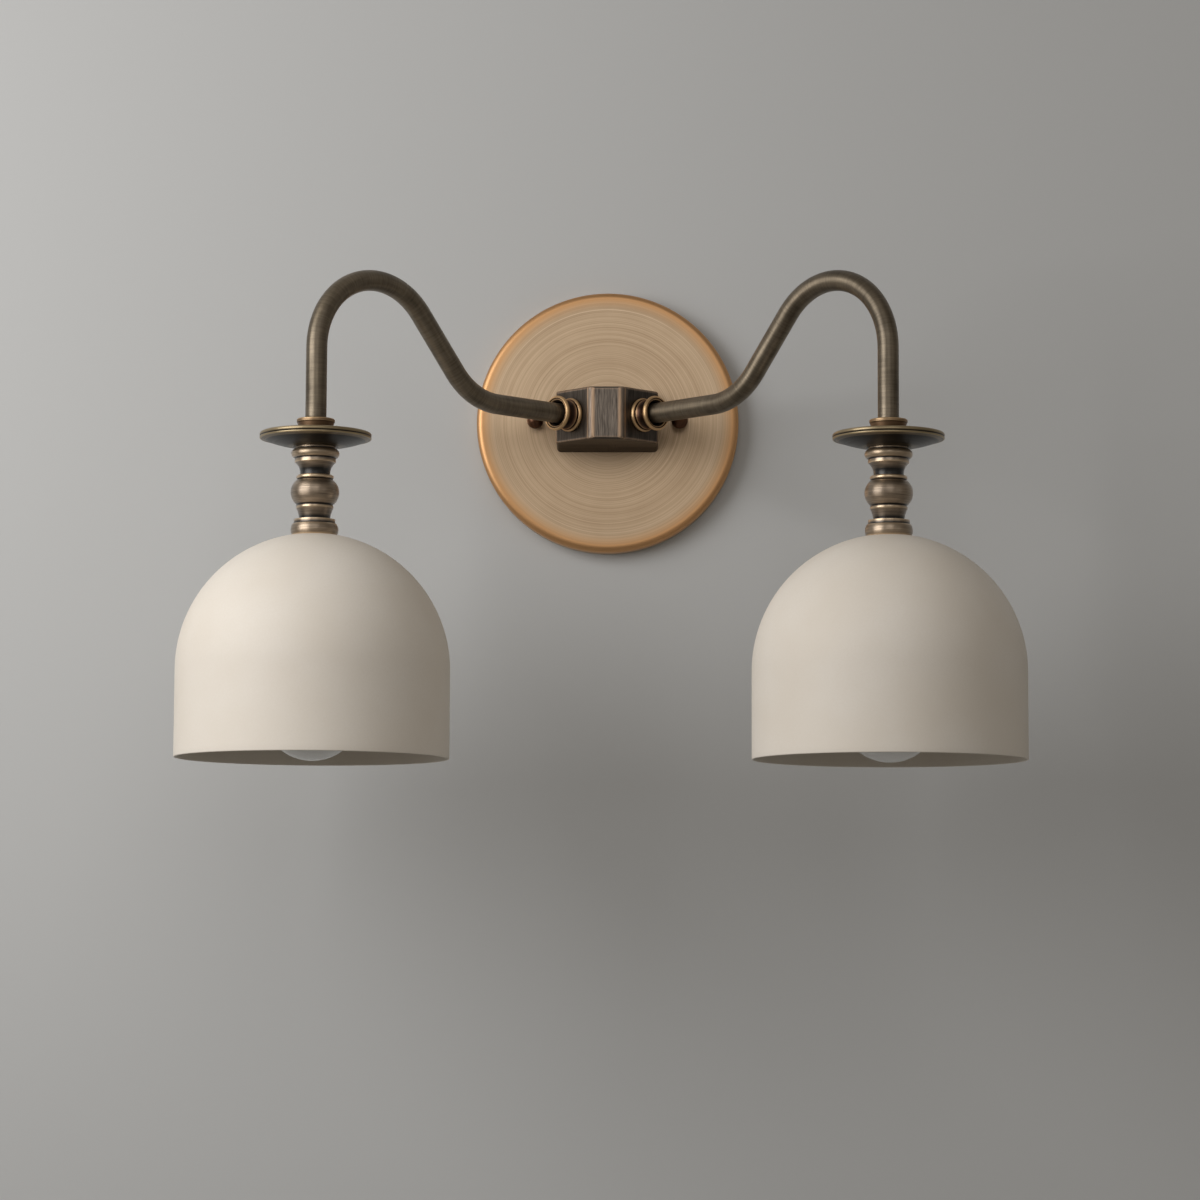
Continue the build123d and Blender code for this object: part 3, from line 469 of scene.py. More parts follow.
class Finish:
    """A material under way: its tree, its surface shader and the steps that finishes share."""

    def __init__(self, name: str, **surface: Any) -> None:
        """Starts the material.

        Args:
            name: The material's name.
            **surface: Constants for the shader's own sockets, with _ for each space.
        """
        self.material = bpy.data.materials.new(name)
        self.material.use_nodes = True
        self.tree = self.material.node_tree
        self.surface = next(n for n in self.tree.nodes if n.type == "BSDF_PRINCIPLED")
        for key, value in surface.items():
            self.surface.inputs[key.replace("_", " ")].default_value = value

    def place(self) -> Socket:
        """Object coordinates."""
        return add_node(self.tree, "ShaderNodeTexCoord", {}).outputs["Object"]

    def field(self, name: str, output: str) -> Socket:
        """A field stored on the piece's vertices."""
        return add_node(self.tree, "ShaderNodeAttribute", {}, attribute_name=name).outputs[output]

    def noise(self, where: Socket, size_mm: Sequence[float], detail: float) -> Socket:
        """Cloudy noise round 0.5.

        Args:
            where: Places in metres.
            size_mm: Length of a spot on each axis.
            detail: Octaves of finer noise.

        Returns:
            The noise's value.
        """
        scale = tuple(1 / (MM * s) for s in size_mm)
        mapped = add_node(self.tree, "ShaderNodeMapping", {"Vector": where, "Scale": scale})
        inputs = {"Vector": mapped.outputs["Vector"], "Scale": 1.0, "Detail": detail}
        return add_node(self.tree, "ShaderNodeTexNoise", inputs).outputs["Fac"]

    def spread(self, value: Socket, before: tuple, after: tuple = (0.0, 1.0)) -> Socket:
        """Maps a range of values onto another, clamped."""
        inputs = dict(zip(("Value", 1, 2, 3, 4), (value, *before, *after)))
        return add_node(self.tree, "ShaderNodeMapRange", inputs).outputs["Result"]

    def mixed(self, factor: Socket, first: Any, second: str) -> Socket:
        """Blends two colours.

        Args:
            factor: 0 for the first colour, 1 for the second.
            first: A colour's code or the socket that gives it.
            second: The other colour's code.

        Returns:
            The blended colour.
        """
        first = linear(first) if isinstance(first, str) else first
        inputs = {0: factor, 6: first, 7: linear(second)}
        return add_node(self.tree, "ShaderNodeMix", inputs, data_type="RGBA").outputs[2]

    def sum_of(self, value: Socket, gain: Any, start: Any) -> Socket:
        """Value times gain plus start."""
        inputs = {0: value, 1: gain, 2: start}
        return add_node(self.tree, "ShaderNodeMath", inputs, operation="MULTIPLY_ADD").outputs[0]

    def set(self, socket: str, source: Socket) -> None:
        """Feeds one of the surface shader's sockets."""
        self.tree.links.new(source, self.surface.inputs[socket])

    def bump(self, height: Socket, depth_mm: float) -> None:
        """Raises the surface by up to depth_mm where the height is 1."""
        inputs = {"Height": height, "Distance": depth_mm * MM, "Strength": 1.0}
        self.set("Normal", add_node(self.tree, "ShaderNodeBump", inputs).outputs["Normal"])


@dataclass(frozen=True)
class AgedMetal:
    """Brass darkened in a bath, brushed, rubbed back on its edges and lacquered.

    The film stays dark in grooves, the bare metal shows on arrises, and the brush leaves fine
    lines along which tone and gloss change and across which a highlight stretches. The same dark
    and bright colours also show painted shade and painted light where a piece's field holds them.
    """

    name: str
    film: str  # the darkened film
    metal: str  # where the brush has thinned the film
    bright: str  # bare metal on the edges, also used for painted light along the plate's edge
    deep_film_and_shade: str  # the film in grooves, also used for painted shade
    roughness: float = 0.4
    line_mm: float = 0.7  # width of the brush lines, wider than real ones so that they show
    line_run_mm: float = 14.0  # how far one line runs
    line_depth_mm: float = 0.004
    band_mm: tuple = (42.0, 3.0)  # size of the broader tone bands, round the piece and along it
    cloud_mm: float = 11.0
    gains: tuple = (1.4, 0.6, 0.6)  # how much lines, bands and clouds change the tone
    stretch: float = 0.5  # of the highlight across the lines
    lacquer: float = 0.3  # clear satin coat, which adds a neutral sheen
    lacquer_roughness: float = 0.35
    rubbed_range: tuple = (0.15, 1.3)  # wear at which the bright colour starts, and covers all: rubbed metal, and painted light on the plate's edge
    groove_and_shade_range: tuple = (-0.1, -0.8)  # wear at which the deep colour starts, and covers all: film in grooves, and painted shade
    duller: float = 0.1  # roughness added where the film is dark
    glossier: float = 0.05  # roughness taken off where the brush has polished

    def build(self) -> bpy.types.Material:
        """Makes the material.

        Returns:
            The material.
        """
        finish = Finish(
            self.name,
            Metallic=1.0,
            Roughness=self.roughness,
            Anisotropic=self.stretch,
            Coat_Weight=self.lacquer,
            Coat_Roughness=self.lacquer_roughness,
        )
        grain = finish.field("grain", "Vector")
        wear_and_shade = finish.field("wear_and_shade", "Fac")
        round_mm, along_mm = self.band_mm
        lines = finish.noise(grain, (self.line_run_mm, self.line_run_mm, self.line_mm), detail=3.0)
        layers = (
            lines,
            finish.noise(grain, (round_mm, round_mm, along_mm), detail=2.0),
            finish.noise(finish.place(), (self.cloud_mm,) * 3, detail=3.0),
        )
        tone: Any = 0.5 - sum(self.gains) / 2
        for layer, gain in zip(layers, self.gains):
            tone = finish.sum_of(layer, gain, tone)
        tone = finish.spread(tone, (0.0, 1.0))
        colour = finish.mixed(tone, self.film, self.metal)
        # positive field: rubbed metal and painted light; negative field: groove film and painted shade
        rubbed = finish.sum_of(wear_and_shade, lines, wear_and_shade)
        colour = finish.mixed(finish.spread(rubbed, self.rubbed_range), colour, self.bright)
        colour = finish.mixed(finish.spread(wear_and_shade, self.groove_and_shade_range), colour, self.deep_film_and_shade)
        finish.set("Base Color", colour)
        gloss = (self.roughness + self.duller, self.roughness - self.glossier)
        finish.set("Roughness", finish.spread(tone, (0.0, 1.0), gloss))
        finish.set("Tangent", finish.field("lay", "Vector"))
        finish.bump(lines, self.line_depth_mm)
        return finish.material


@dataclass(frozen=True)
class PowderCoat:
    """Matte polyester powder, sprayed dry on spun steel and baked: even, with a fine orange peel."""

    name: str
    colour: str
    shadow: str
    peel_mm: float = 0.9  # real peel is finer; drawn as coarse as it needs to show
    peel_depth_mm: float = 0.012
    cloud_mm: float = 35.0
    cloud_share: float = 0.5  # the most of the shadow colour that clouds and specks bring in
    speck_share: float = 0.25
    roughness: float = 0.55
    roughness_range: tuple = (0.5, 0.62)
    mirror: float = 0.35

    def build(self) -> bpy.types.Material:
        """Makes the material.

        Returns:
            The material.
        """
        finish = Finish(self.name, Roughness=self.roughness, Specular_IOR_Level=self.mirror)
        place = finish.place()
        peel = finish.noise(place, (self.peel_mm,) * 3, detail=2.0)
        clouds = finish.noise(place, (self.cloud_mm,) * 3, detail=2.0)
        tone = finish.spread(clouds, (0.3, 0.7), (0.0, self.cloud_share))
        specks = finish.spread(peel, (0.25, 0.75), (0.0, self.speck_share))
        colour = finish.mixed(tone, self.colour, self.shadow)
        finish.set("Base Color", finish.mixed(specks, colour, self.shadow))
        finish.set("Roughness", finish.spread(peel, (0.3, 0.7), self.roughness_range))
        finish.bump(peel, self.peel_depth_mm)
        return finish.material


@dataclass(frozen=True)
class Plain:
    """A small part's finish: metal, moulding or glass, with fine cloudy changes of tone and gloss."""

    name: str
    light: str
    dark: str
    metallic: float
    roughness: float
    spot_mm: float
    depth_mm: float
    coat: float = 0.0
    subsurface: float = 0.0
    subsurface_mm: float = 2.0
    clouds_to_spots: float = 8.0
    glossier: float = 0.04
    duller: float = 0.06

    def build(self) -> bpy.types.Material:
        """Makes the material.

        Returns:
            The material.
        """
        finish = Finish(
            self.name,
            Metallic=self.metallic,
            Roughness=self.roughness,
            Coat_Weight=self.coat,
            Subsurface_Weight=self.subsurface,
            Subsurface_Scale=self.subsurface_mm * MM,
        )
        place = finish.place()
        spots = finish.noise(place, (self.spot_mm,) * 3, detail=3.0)
        clouds = finish.noise(place, (self.clouds_to_spots * self.spot_mm,) * 3, detail=2.0)
        tone = finish.spread(finish.sum_of(clouds, 1.0, spots), (0.7, 1.3))
        finish.set("Base Color", finish.mixed(tone, self.light, self.dark))
        gloss = (self.roughness - self.glossier, self.roughness + self.duller)
        finish.set("Roughness", finish.spread(tone, (0.0, 1.0), gloss))
        finish.bump(spots, self.depth_mm)
        return finish.material


FINISHES = (
    # Spun brass, brushed on the lathe in rings: champagne face, orange where the rim is rubbed.
    AgedMetal("brushed_antique_brass_plate", "#B39779", "#DCC3A4", "#D4A473", "#8A6C48",
              roughness=0.46, line_mm=0.45, line_run_mm=160.0, band_mm=(300.0, 2.6), gains=(1.6, 0.2, 0.2),
              stretch=0.15, lacquer=0.1),
    # Turned brass, darkened to copper brown.
    AgedMetal("dark_copper_brass_knob", "#3A2418", "#6B4630", "#8A6040", "#1E120B", stretch=0.0),
    # Cast brass under oil-rubbed bronze: near black film, grey brush lines, tan edges.
    AgedMetal("oil_rubbed_bronze_casting", "#332B25", "#8A7E72", "#B5977B", "#0C0804",
              roughness=0.45, line_mm=0.5, line_run_mm=7.0, gains=(1.5, 0.5, 0.3), stretch=0.3),
    # Drawn brass tube under the same film, brushed round with a belt.
    AgedMetal("oil_rubbed_bronze_tube", "#3C3428", "#998B77", "#A89982", "#17110B",
              roughness=0.44, line_mm=0.6, line_run_mm=9.0, band_mm=(3.0, 30.0), gains=(0.55, 0.9, 0.5)),
    # Turned brass, copper brown with burnished beads and a dark film in the grooves.
    AgedMetal("burnished_copper_brass", "#4A3022", "#8A6248", "#D6B284", "#150C07",
              roughness=0.42, line_mm=0.5, gains=(1.2, 0.4, 0.4), stretch=0.3),
    # Turned brass, browner and unburnished.
    AgedMetal("mottled_brown_brass", "#5E4734", "#A08060", "#C4A67E", "#1D120B",
              roughness=0.46, line_mm=0.6, gains=(1.0, 0.5, 1.0), stretch=0.3),
    # Turned brass aged to olive gold, lacquered.
    AgedMetal("turned_antique_brass", "#574939", "#B4A08A", "#D8BE9C", "#120C06",
              roughness=0.38, line_mm=0.5, gains=(1.4, 0.5, 0.8), lacquer=1.0),
    # The same brass left darker on the pans, with grey olive brush rings.
    AgedMetal("darkened_antique_brass", "#3B3225", "#85765F", "#AD9A78", "#100C07",
              roughness=0.44, line_mm=0.5, gains=(1.4, 0.5, 0.8), lacquer=0.4),
    PowderCoat("cream_powder_coat", "#E9E1D6", "#DFD4C5"),
    # Zinc-plated steel, passivated clear: pale, faintly blue, softly blotched.
    Plain("zinc_plated_steel", "#C9CCD0", "#9EA2A6", 1.0, 0.34, 0.6, 0.004),
    # The same plating dyed green, which marks a ground screw.
    Plain("green_zinc_plated_steel", "#2E8B4E", "#1C5E33", 0.6, 0.4, 0.5, 0.004),
    # Brass as the lathe leaves it: yellow and bright.
    Plain("machined_brass", "#D9B56A", "#B8924A", 1.0, 0.28, 0.5, 0.003),
    # Drawn brass of the lampholder, dipped bright.
    Plain("drawn_brass_cap", "#BFA270", "#97794A", 1.0, 0.3, 0.9, 0.004),
    # Phenolic moulded under heat: black, slightly speckled, dull.
    Plain("moulded_phenolic", "#1C1A18", "#0E0D0C", 0.0, 0.42, 0.7, 0.01),
    # Thin aluminium sheet rolled into a thread.
    Plain("rolled_aluminium", "#DADBDC", "#B4B6B8", 1.0, 0.3, 0.5, 0.003),
    # Glass frosted inside: milky all through, glossy outside.
    Plain("opal_glass", "#E9E6DF", "#E0DCD3", 0.0, 0.22, 4.0, 0.002, coat=0.4, subsurface=0.2),
    # Black glass round the bulb's contact, poured and shiny.
    Plain("glazed_black_button", "#1D1A22", "#100E14", 0.0, 0.2, 0.6, 0.003, coat=0.5),
    # Extruded vinyl of the leads: even and dull.
    Plain("black_lead_insulation", "#1B1B1B", "#0F0F0F", 0.0, 0.5, 0.8, 0.01),
    Plain("white_lead_insulation", "#E4E1D8", "#D3CFC4", 0.0, 0.5, 0.8, 0.01),
    # Injection-moulded nylon and thermoplastic: matt from the mould, one colour all through.
    Plain("moulded_nylon", "#232323", "#151515", 0.0, 0.48, 0.7, 0.01),
    Plain("moulded_orange_thermoplastic", "#E0702A", "#C65A1B", 0.0, 0.35, 0.9, 0.008),
)

SLOT_FINISH = {
    "plate_brass": "brushed_antique_brass_plate",
    "knob_copper": "dark_copper_brass_knob",
    "dark_bronze": "oil_rubbed_bronze_casting",
    "collar_brass": "burnished_copper_brass",
    "aged_brass": "turned_antique_brass",
    "shade_cream": "cream_powder_coat",
    "zinc_steel": "zinc_plated_steel",
    "ground_green": "green_zinc_plated_steel",
    "raw_brass": "machined_brass",
    "cap_brass": "drawn_brass_cap",
    "phenolic": "moulded_phenolic",
    "shell_aluminium": "rolled_aluminium",
    "opal_glass": "opal_glass",
    "bulb_button": "glazed_black_button",
    "lead_black": "black_lead_insulation",
    "lead_white": "white_lead_insulation",
    "nylon_black": "moulded_nylon",
    "nut_orange": "moulded_orange_thermoplastic",
}


def finish_piece(
    piece: bpy.types.Object, slot: str, body: str, node: str, finish: Optional[str] = None
) -> None:
    """Gives a new piece its material, its body and the CAD node that it stands for.

    Args:
        piece: The finished object.
        slot: The record's material slot.
        body: The CAD body that the piece moves with.
        node: The CAD node that it replaces.
        finish: Name of a finish other than the slot's usual one.
    """
    piece.data.materials.clear()
    piece.data.materials.append(bpy.data.materials[finish or SLOT_FINISH[slot]])
    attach(piece, body)
    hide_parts(node)
    LOG.info("%s: %d faces on %s", piece.name, len(piece.data.polygons), body)


# ---------------------------------------------------------------- wall side
@dataclass
class WallPlate:
    """Spun backplate, its two knobs and the wire nuts behind it. Sizes in millimetres."""

    diameter: float = 127.0
    depth: float = 10.0
    wall: float = 1.2
    edge_radius: float = 3.0
    stud_spacing: float = 69.85
    stud_hole: float = 4.3
    screw_spacing: float = 37.0
    screw_hole: float = 4.2
    bushing_hole: float = 13.8
    rubbed_band: float = 11.0  # how far in from the rim the lacquer is rubbed, more and more
    rubbed_rise: float = 8.5
    rubbed_and_lit_depth: float = 3.5  # how far along the edge it stays bright: rubbed on the rounding, painted light beyond it
    # over this the edge fades from bright to painted shade next to the wall
    edge_fade_to_shade: float = 4.0
    knob_foot: float = 10.3
    knob_foot_radius: float = 3.0
    knob_foot_height: float = 1.2
    knob_radius: float = 4.0
    knob_bore_radius: float = 2.1
    knob_bore_depth: float = 6.0
    nut_depth: float = 4.4
    nut_level: float = 16.0
    nut_length: float = 15.0
    nut_radius: float = 4.0
    nut_taper: float = math.radians(3.0)
    nut_bore_radius: float = 2.2
    nut_bore_depth: float = 10.0
    flute_depth: float = 0.35
    flute_pairs: int = 8
    flute_start: float = 2.5
    flute_fade: float = 1.5
    flute_inner: float = 2.6  # radius inside which there are none

    def hole(self, x: float, diameter: float) -> bpy.types.Object:
        """Makes a plug that cuts one hole through the plate's face.

        Args:
            x: The hole's place to the right of the middle.
            diameter: Its diameter.

        Returns:
            The plug.
        """
        radius, through = diameter / 2, self.depth + 2
        plug = divided(drawn((0, -1), (radius, -1), (radius, through), (0, through)), 50, True)
        return turned("plug", plug, Vector((x * MM, 0, 0)), WALL_AXIS, 48)

    def make_plate(self) -> None:
        """Makes the plate: a shallow spun dish, its holes cut, its fields read from the shape."""
        rim, edge, wall, depth = self.diameter / 2, self.edge_radius, self.wall, self.depth
        flat, shoulder, inner = rim - edge, depth - edge, edge - wall
        outline = drawn(
            (rim - wall, 0), (rim, 0), (rim, shoulder),
            ((flat + edge * SLANT, shoulder + edge * SLANT), (flat, depth), 16),
            (0, depth), (0, depth - wall), (flat, depth - wall),
            ((flat + inner * SLANT, shoulder + inner * SLANT), (rim - wall, shoulder), 16),
        )
        piece = turned("spun_plate", softened(outline, 0.2, 2.0), Vector(), WALL_AXIS, 256)
        half_studs, half_screws = self.stud_spacing / 2, self.screw_spacing / 2
        sizes = {-half_studs: self.stud_hole, half_studs: self.stud_hole, 0.0: self.bushing_hole}
        sizes |= {-half_screws: self.screw_hole, half_screws: self.screw_hole}
        cut(piece, [self.hole(x, size) for x, size in sizes.items()])
        self.make_fields(piece)
        close_and_smooth(piece)
        finish_piece(piece, "plate_brass", FIXTURE, "backplate")

    def make_fields(self, piece: bpy.types.Object) -> None:
        """Works out the plate's fields from its vertices.

        Grain is (x, z, distance from the axis plus depth below the face). The lay is square to the
        face's normal and to the way round the axis. Wear grows towards the rim, where the lacquer
        is rubbed warm. Along the edge it is kept bright past the rubbed rounding as painted light,
        where the lamps reach little, and turns to painted shade next to the wall.

        Args:
            piece: The plate with its holes cut.
        """
        points = read_vectors(piece.data.vertices, "co") / MM
        normals = read_vectors(piece.data.vertices, "normal")
        x, z = points[:, 0], points[:, 2]
        radius, below = np.hypot(x, z), self.depth + points[:, 1]
        around = np.column_stack([-z, np.zeros(len(radius)), x]) / radius[:, None]
        grain = np.column_stack([x, z, radius + below])
        near_rim = (radius - self.diameter / 2 + self.rubbed_band) / self.rubbed_rise
        # painted light along the edge where the lamps reach little, then painted shade next to the wall
        down = np.clip(1 - (below - self.rubbed_and_lit_depth) / self.edge_fade_to_shade, -0.4, 1)
        write_fields(piece, grain, np.cross(normals, around), np.clip(near_rim, 0, 1) ** 2 * down)

    def make_knobs(self) -> None:
        """Makes the ball knobs that hold the plate on its studs."""
        foot, foot_radius, bore = self.knob_foot, self.knob_foot_radius, self.knob_bore_radius
        shoulder, bore_end = foot + self.knob_foot_height, foot + self.knob_bore_depth
        centre = shoulder + math.sqrt(self.knob_radius**2 - foot_radius**2)
        outline = drawn(
            (bore, foot), (foot_radius, foot), (foot_radius, shoulder),
            ((self.knob_radius, centre), (0, centre + self.knob_radius), 28),
            (0, bore_end), (bore, bore_end),
        )
        line = softened(outline, 0.15, 0.6)
        for side in Side:
            origin = Vector((side.value * self.stud_spacing / 2 * MM, 0, 0))
            piece = turned(f"{side.prefix}_ball_knob", line, origin, WALL_AXIS, 64, spread=0.4)
            finish_piece(piece, "knob_copper", f"{side.prefix}_knob", f"{side.prefix}_knob")

    def flutes(self, angle: Array, radius: Array, level: Array) -> Array:
        """Depth of a wire nut's flutes, the square of a sine round it.

        Args:
            angle: Angle round the nut.
            radius: Distance from its axis.
            level: Distance from its mouth.

        Returns:
            The radius to add; nothing near the mouth, near the tip and inside.
        """
        rise = (level - self.flute_start) / self.flute_fade
        fall = (self.nut_length - 1 - level) / self.flute_fade
        share = np.clip(rise, 0, 1) * np.clip(fall, 0, 1) * (radius > self.flute_inner)
        return -self.flute_depth * share * np.sin(self.flute_pairs * angle) ** 2

    def make_wire_nuts(self) -> None:
        """Makes the two tapered wire nuts, fluted for the fingers."""
        length, bore, bore_end = self.nut_length, self.nut_bore_radius, self.nut_bore_depth
        tip = self.nut_radius - length * math.tan(self.nut_taper)
        outline = drawn(
            (bore, 0), (self.nut_radius, 0), (tip, length), (0, length), (0, bore_end), (bore, bore_end)
        )
        line = softened(outline, 0.8, 0.7, 8)
        for way, node in ((1, "live_wire_nut"), (-1, "neutral_wire_nut")):
            origin = Vector((0, -self.nut_depth * MM, way * self.nut_level * MM))
            axis = Vector((0, 0, way))
            piece = turned(f"fluted_{node}", line, origin, axis, 96, swell=self.flutes)
            finish_piece(piece, "nut_orange", FIXTURE, node)

    def build(self) -> None:
        """Makes all of it."""
        self.make_plate()
        self.make_knobs()
        self.make_wire_nuts()


@dataclass
class CastBody:
    """Faceted cast body between the arms, with a flared foot. Sizes in millimetres."""

    width: float = 49.0
    front_width: float = 15.6
    front: float = 40.0
    foot: float = 10.0
    height: float = 25.3
    root_height: float = 29.8
    arris_radius: float = 4.0  # of the two upright edges of the front face
    edge_radius: float = 1.0
    root_radius: float = 2.3
    cavity_width: float = 26.0
    cavity_height: float = 16.0
    cavity_depth: float = 20.0
    cavity_radius: float = 4.0
    pole: float = 0.05  # half size of the ring that closes each end
    inside_along: float = 60.0  # place of the cavity on the grain, clear of the outside
    corner_spans: int = 8
    side_spans: int = 14

    @property
    def shoulder(self) -> float:
        """Depth at which the slanting faces start."""
        return self.front - (self.width - self.front_width) / 2

    @property
    def setback(self) -> float:
        """Distance from a sharp arris to where its rounding starts."""
        return self.arris_radius * math.tan(math.pi / 8)

    def ring(self, width: Array, height: Array, radius: Array) -> Array:
        """Rounded rectangles, all with as many points.

        Each corner is a quarter circle about a centre one radius inside, and each side is divided
        evenly, closer towards its ends.

        Args:
            width: Half widths, one for each ring.
            height: Half heights.
            radius: Corner radii.

        Returns:
            (x, z) of each point of each ring, (rings, points, 2).
        """
        radius = np.minimum(radius, 0.98 * np.minimum(width, height))[:, None]
        width, height = width[:, None], height[:, None]
        quarter = np.linspace(0, math.pi / 2, self.corner_spans + 1)[None, :]
        share = (1 - np.cos(np.linspace(0, math.pi, self.side_spans + 1)[1:-1]))[None, :, None] / 2
        corners = []
        for turn, (sx, sz) in enumerate(((1, 1), (-1, 1), (-1, -1), (1, -1))):
            angle = quarter + turn * math.pi / 2
            x = sx * (width - radius) + radius * np.cos(angle)
            z = sz * (height - radius) + radius * np.sin(angle)
            corners.append(np.stack([x, z], axis=-1))
        parts = []
        for corner, following in zip(corners, corners[1:] + corners[:1]):
            start, stop = corner[:, -1:], following[:, :1]
            parts += [corner, start + (stop - start) * share]
        return np.concatenate(parts, axis=1)

    def plan(self) -> Array:
        """Outline of the body seen from above, as (across, out), from the foot to the middle.

        Returns:
            Rows that run up the side, along the slanting face and its rounded arris and over the
            front to the middle, where the last row is a short way off the axis.
        """
        half, nose, shoulder = self.width / 2, self.front_width / 2, self.shoulder
        slant = self.setback * SLANT
        lean = math.pi / 8
        round_off = self.arris_radius * (1 / math.cos(lean) - 1)
        middle = (nose - round_off * math.sin(lean), self.front - round_off * math.cos(lean))
        line = drawn(
            (half, self.foot), (half, shoulder - 0.4), (half - 0.3, shoulder + 0.3),
            (nose + slant, self.front - slant), (middle, (nose - self.setback, self.front), 12),
            (self.pole, self.front),
        )
        return divided(line, 0.5, closed=False)

    def build(self) -> None:
        """Makes the body as one row of rings, from the cavity's floor round the foot to the front.

        The half width follows the plan. The half height is level from the front to the shoulder,
        flares on an arc to the foot, and draws in over the edge radius next to the flat front, on
        which the rings shrink in proportion to the middle.
        """
        plan = self.plan()
        across, out = plan[:, 0], plan[:, 1]
        rise, run = (self.root_height - self.height) / 2, self.shoulder - self.foot
        arc = (run**2 + rise**2) / (2 * rise)
        tall = self.height / 2 + arc - np.sqrt(arc**2 - np.clip(self.shoulder - out, 0, run) ** 2)
        near = np.clip(self.edge_radius - (self.front - out), 0, self.edge_radius)
        tall -= self.edge_radius - np.sqrt(self.edge_radius**2 - near**2)
        flat = out > self.front - ON_AXIS
        scale = np.where(flat, across / across[flat].max(), 1.0)
        toward_foot = np.clip((self.shoulder - out) / run, 0, 1)
        radius = self.edge_radius + (self.root_radius - self.edge_radius) * toward_foot
        wide, high, corner = self.cavity_width / 2, self.cavity_height / 2, self.cavity_radius
        floor = self.foot + self.cavity_depth
        width = np.concatenate([[self.pole, wide, wide], across])
        tall = np.concatenate([[self.pole, high, high], tall * scale])
        depth = np.concatenate([[floor, floor, self.foot], out])
        radius = np.concatenate([[0.8 * self.pole, corner, corner], radius * scale])
        ring = self.ring(width, tall, radius)
        level = np.repeat(-depth[:, None], ring.shape[1], axis=1)
        grid = np.stack([ring[..., 0], level, ring[..., 1]], axis=-1)
        piece = grid_object("cast_body", grid * MM)
        on_side = np.abs(ring[..., 0]) > (width - radius)[:, None]
        along = np.concatenate([[self.inside_along] * 3, run_length(plan[::-1])[::-1]])[:, None]
        flat = np.concatenate([[False] * 3, flat])[:, None]
        self.make_fields(piece, grid, np.where(flat, np.abs(ring[..., 0]), along), on_side | flat)
        close_and_smooth(piece, 35.0)
        finish_piece(piece, "dark_bronze", FIXTURE, "cluster_body")

    def make_fields(
        self, piece: bpy.types.Object, grid: Array, across: Array, upright: Array
    ) -> None:
        """Stores the body's fields: upright brush lines, rubbed arrises, painted shade on the slanting
        faces and under the body.

        Args:
            piece: The body.
            grid: Its points in millimetres.
            across: Distance along the plan's outline from the middle of the front.
            upright: Where the surface is one of the upright faces.
        """
        x, out, z = grid[..., 0], -grid[..., 1], grid[..., 2]
        inner = self.front_width / 2 - self.setback
        outer = inner + self.arris_radius * math.pi / 4
        shoulder = inner + self.setback + (self.width - self.front_width) / 2 * math.sqrt(2)
        top = self.height / 2
        arris = 0.15 * (across > inner) * (across < outer)
        for centre, width, strength in ((inner + 0.1, 0.8, 0.75), (outer, 0.4, 0.75), (shoulder, 0.8, 0.5)):
            arris = arris + strength * bell(across, centre, width)
        strength = np.where(across < inner + 1.0, 0.8, 0.5)
        rim = strength * bell(np.abs(z), top - 0.6, 0.45) * (across < shoulder + 0.5)
        edges = np.maximum(arris, rim)
        # painted shade: the slanting faces darker than the front, as they turn from the light
        slant = -0.5 * np.clip((across - outer - 0.5) / 1.5, 0, 1)
        wear_and_shade = np.where(upright, np.where(edges > 0.15, edges, slant + edges), 0.0)
        # painted shade on the underside
        wear_and_shade = np.where((z < 0.4 - top) & ~upright, -0.35, wear_and_shade)
        lean = np.clip((across - 7.0) / 3.0, 0, 1) * math.pi / 4
        lay = np.stack([np.cos(lean), np.sin(lean) * np.sign(x), 0 * lean], axis=-1)
        write_fields(piece, np.stack([out, z, across * np.sign(x)], axis=-1), lay, wear_and_shade)


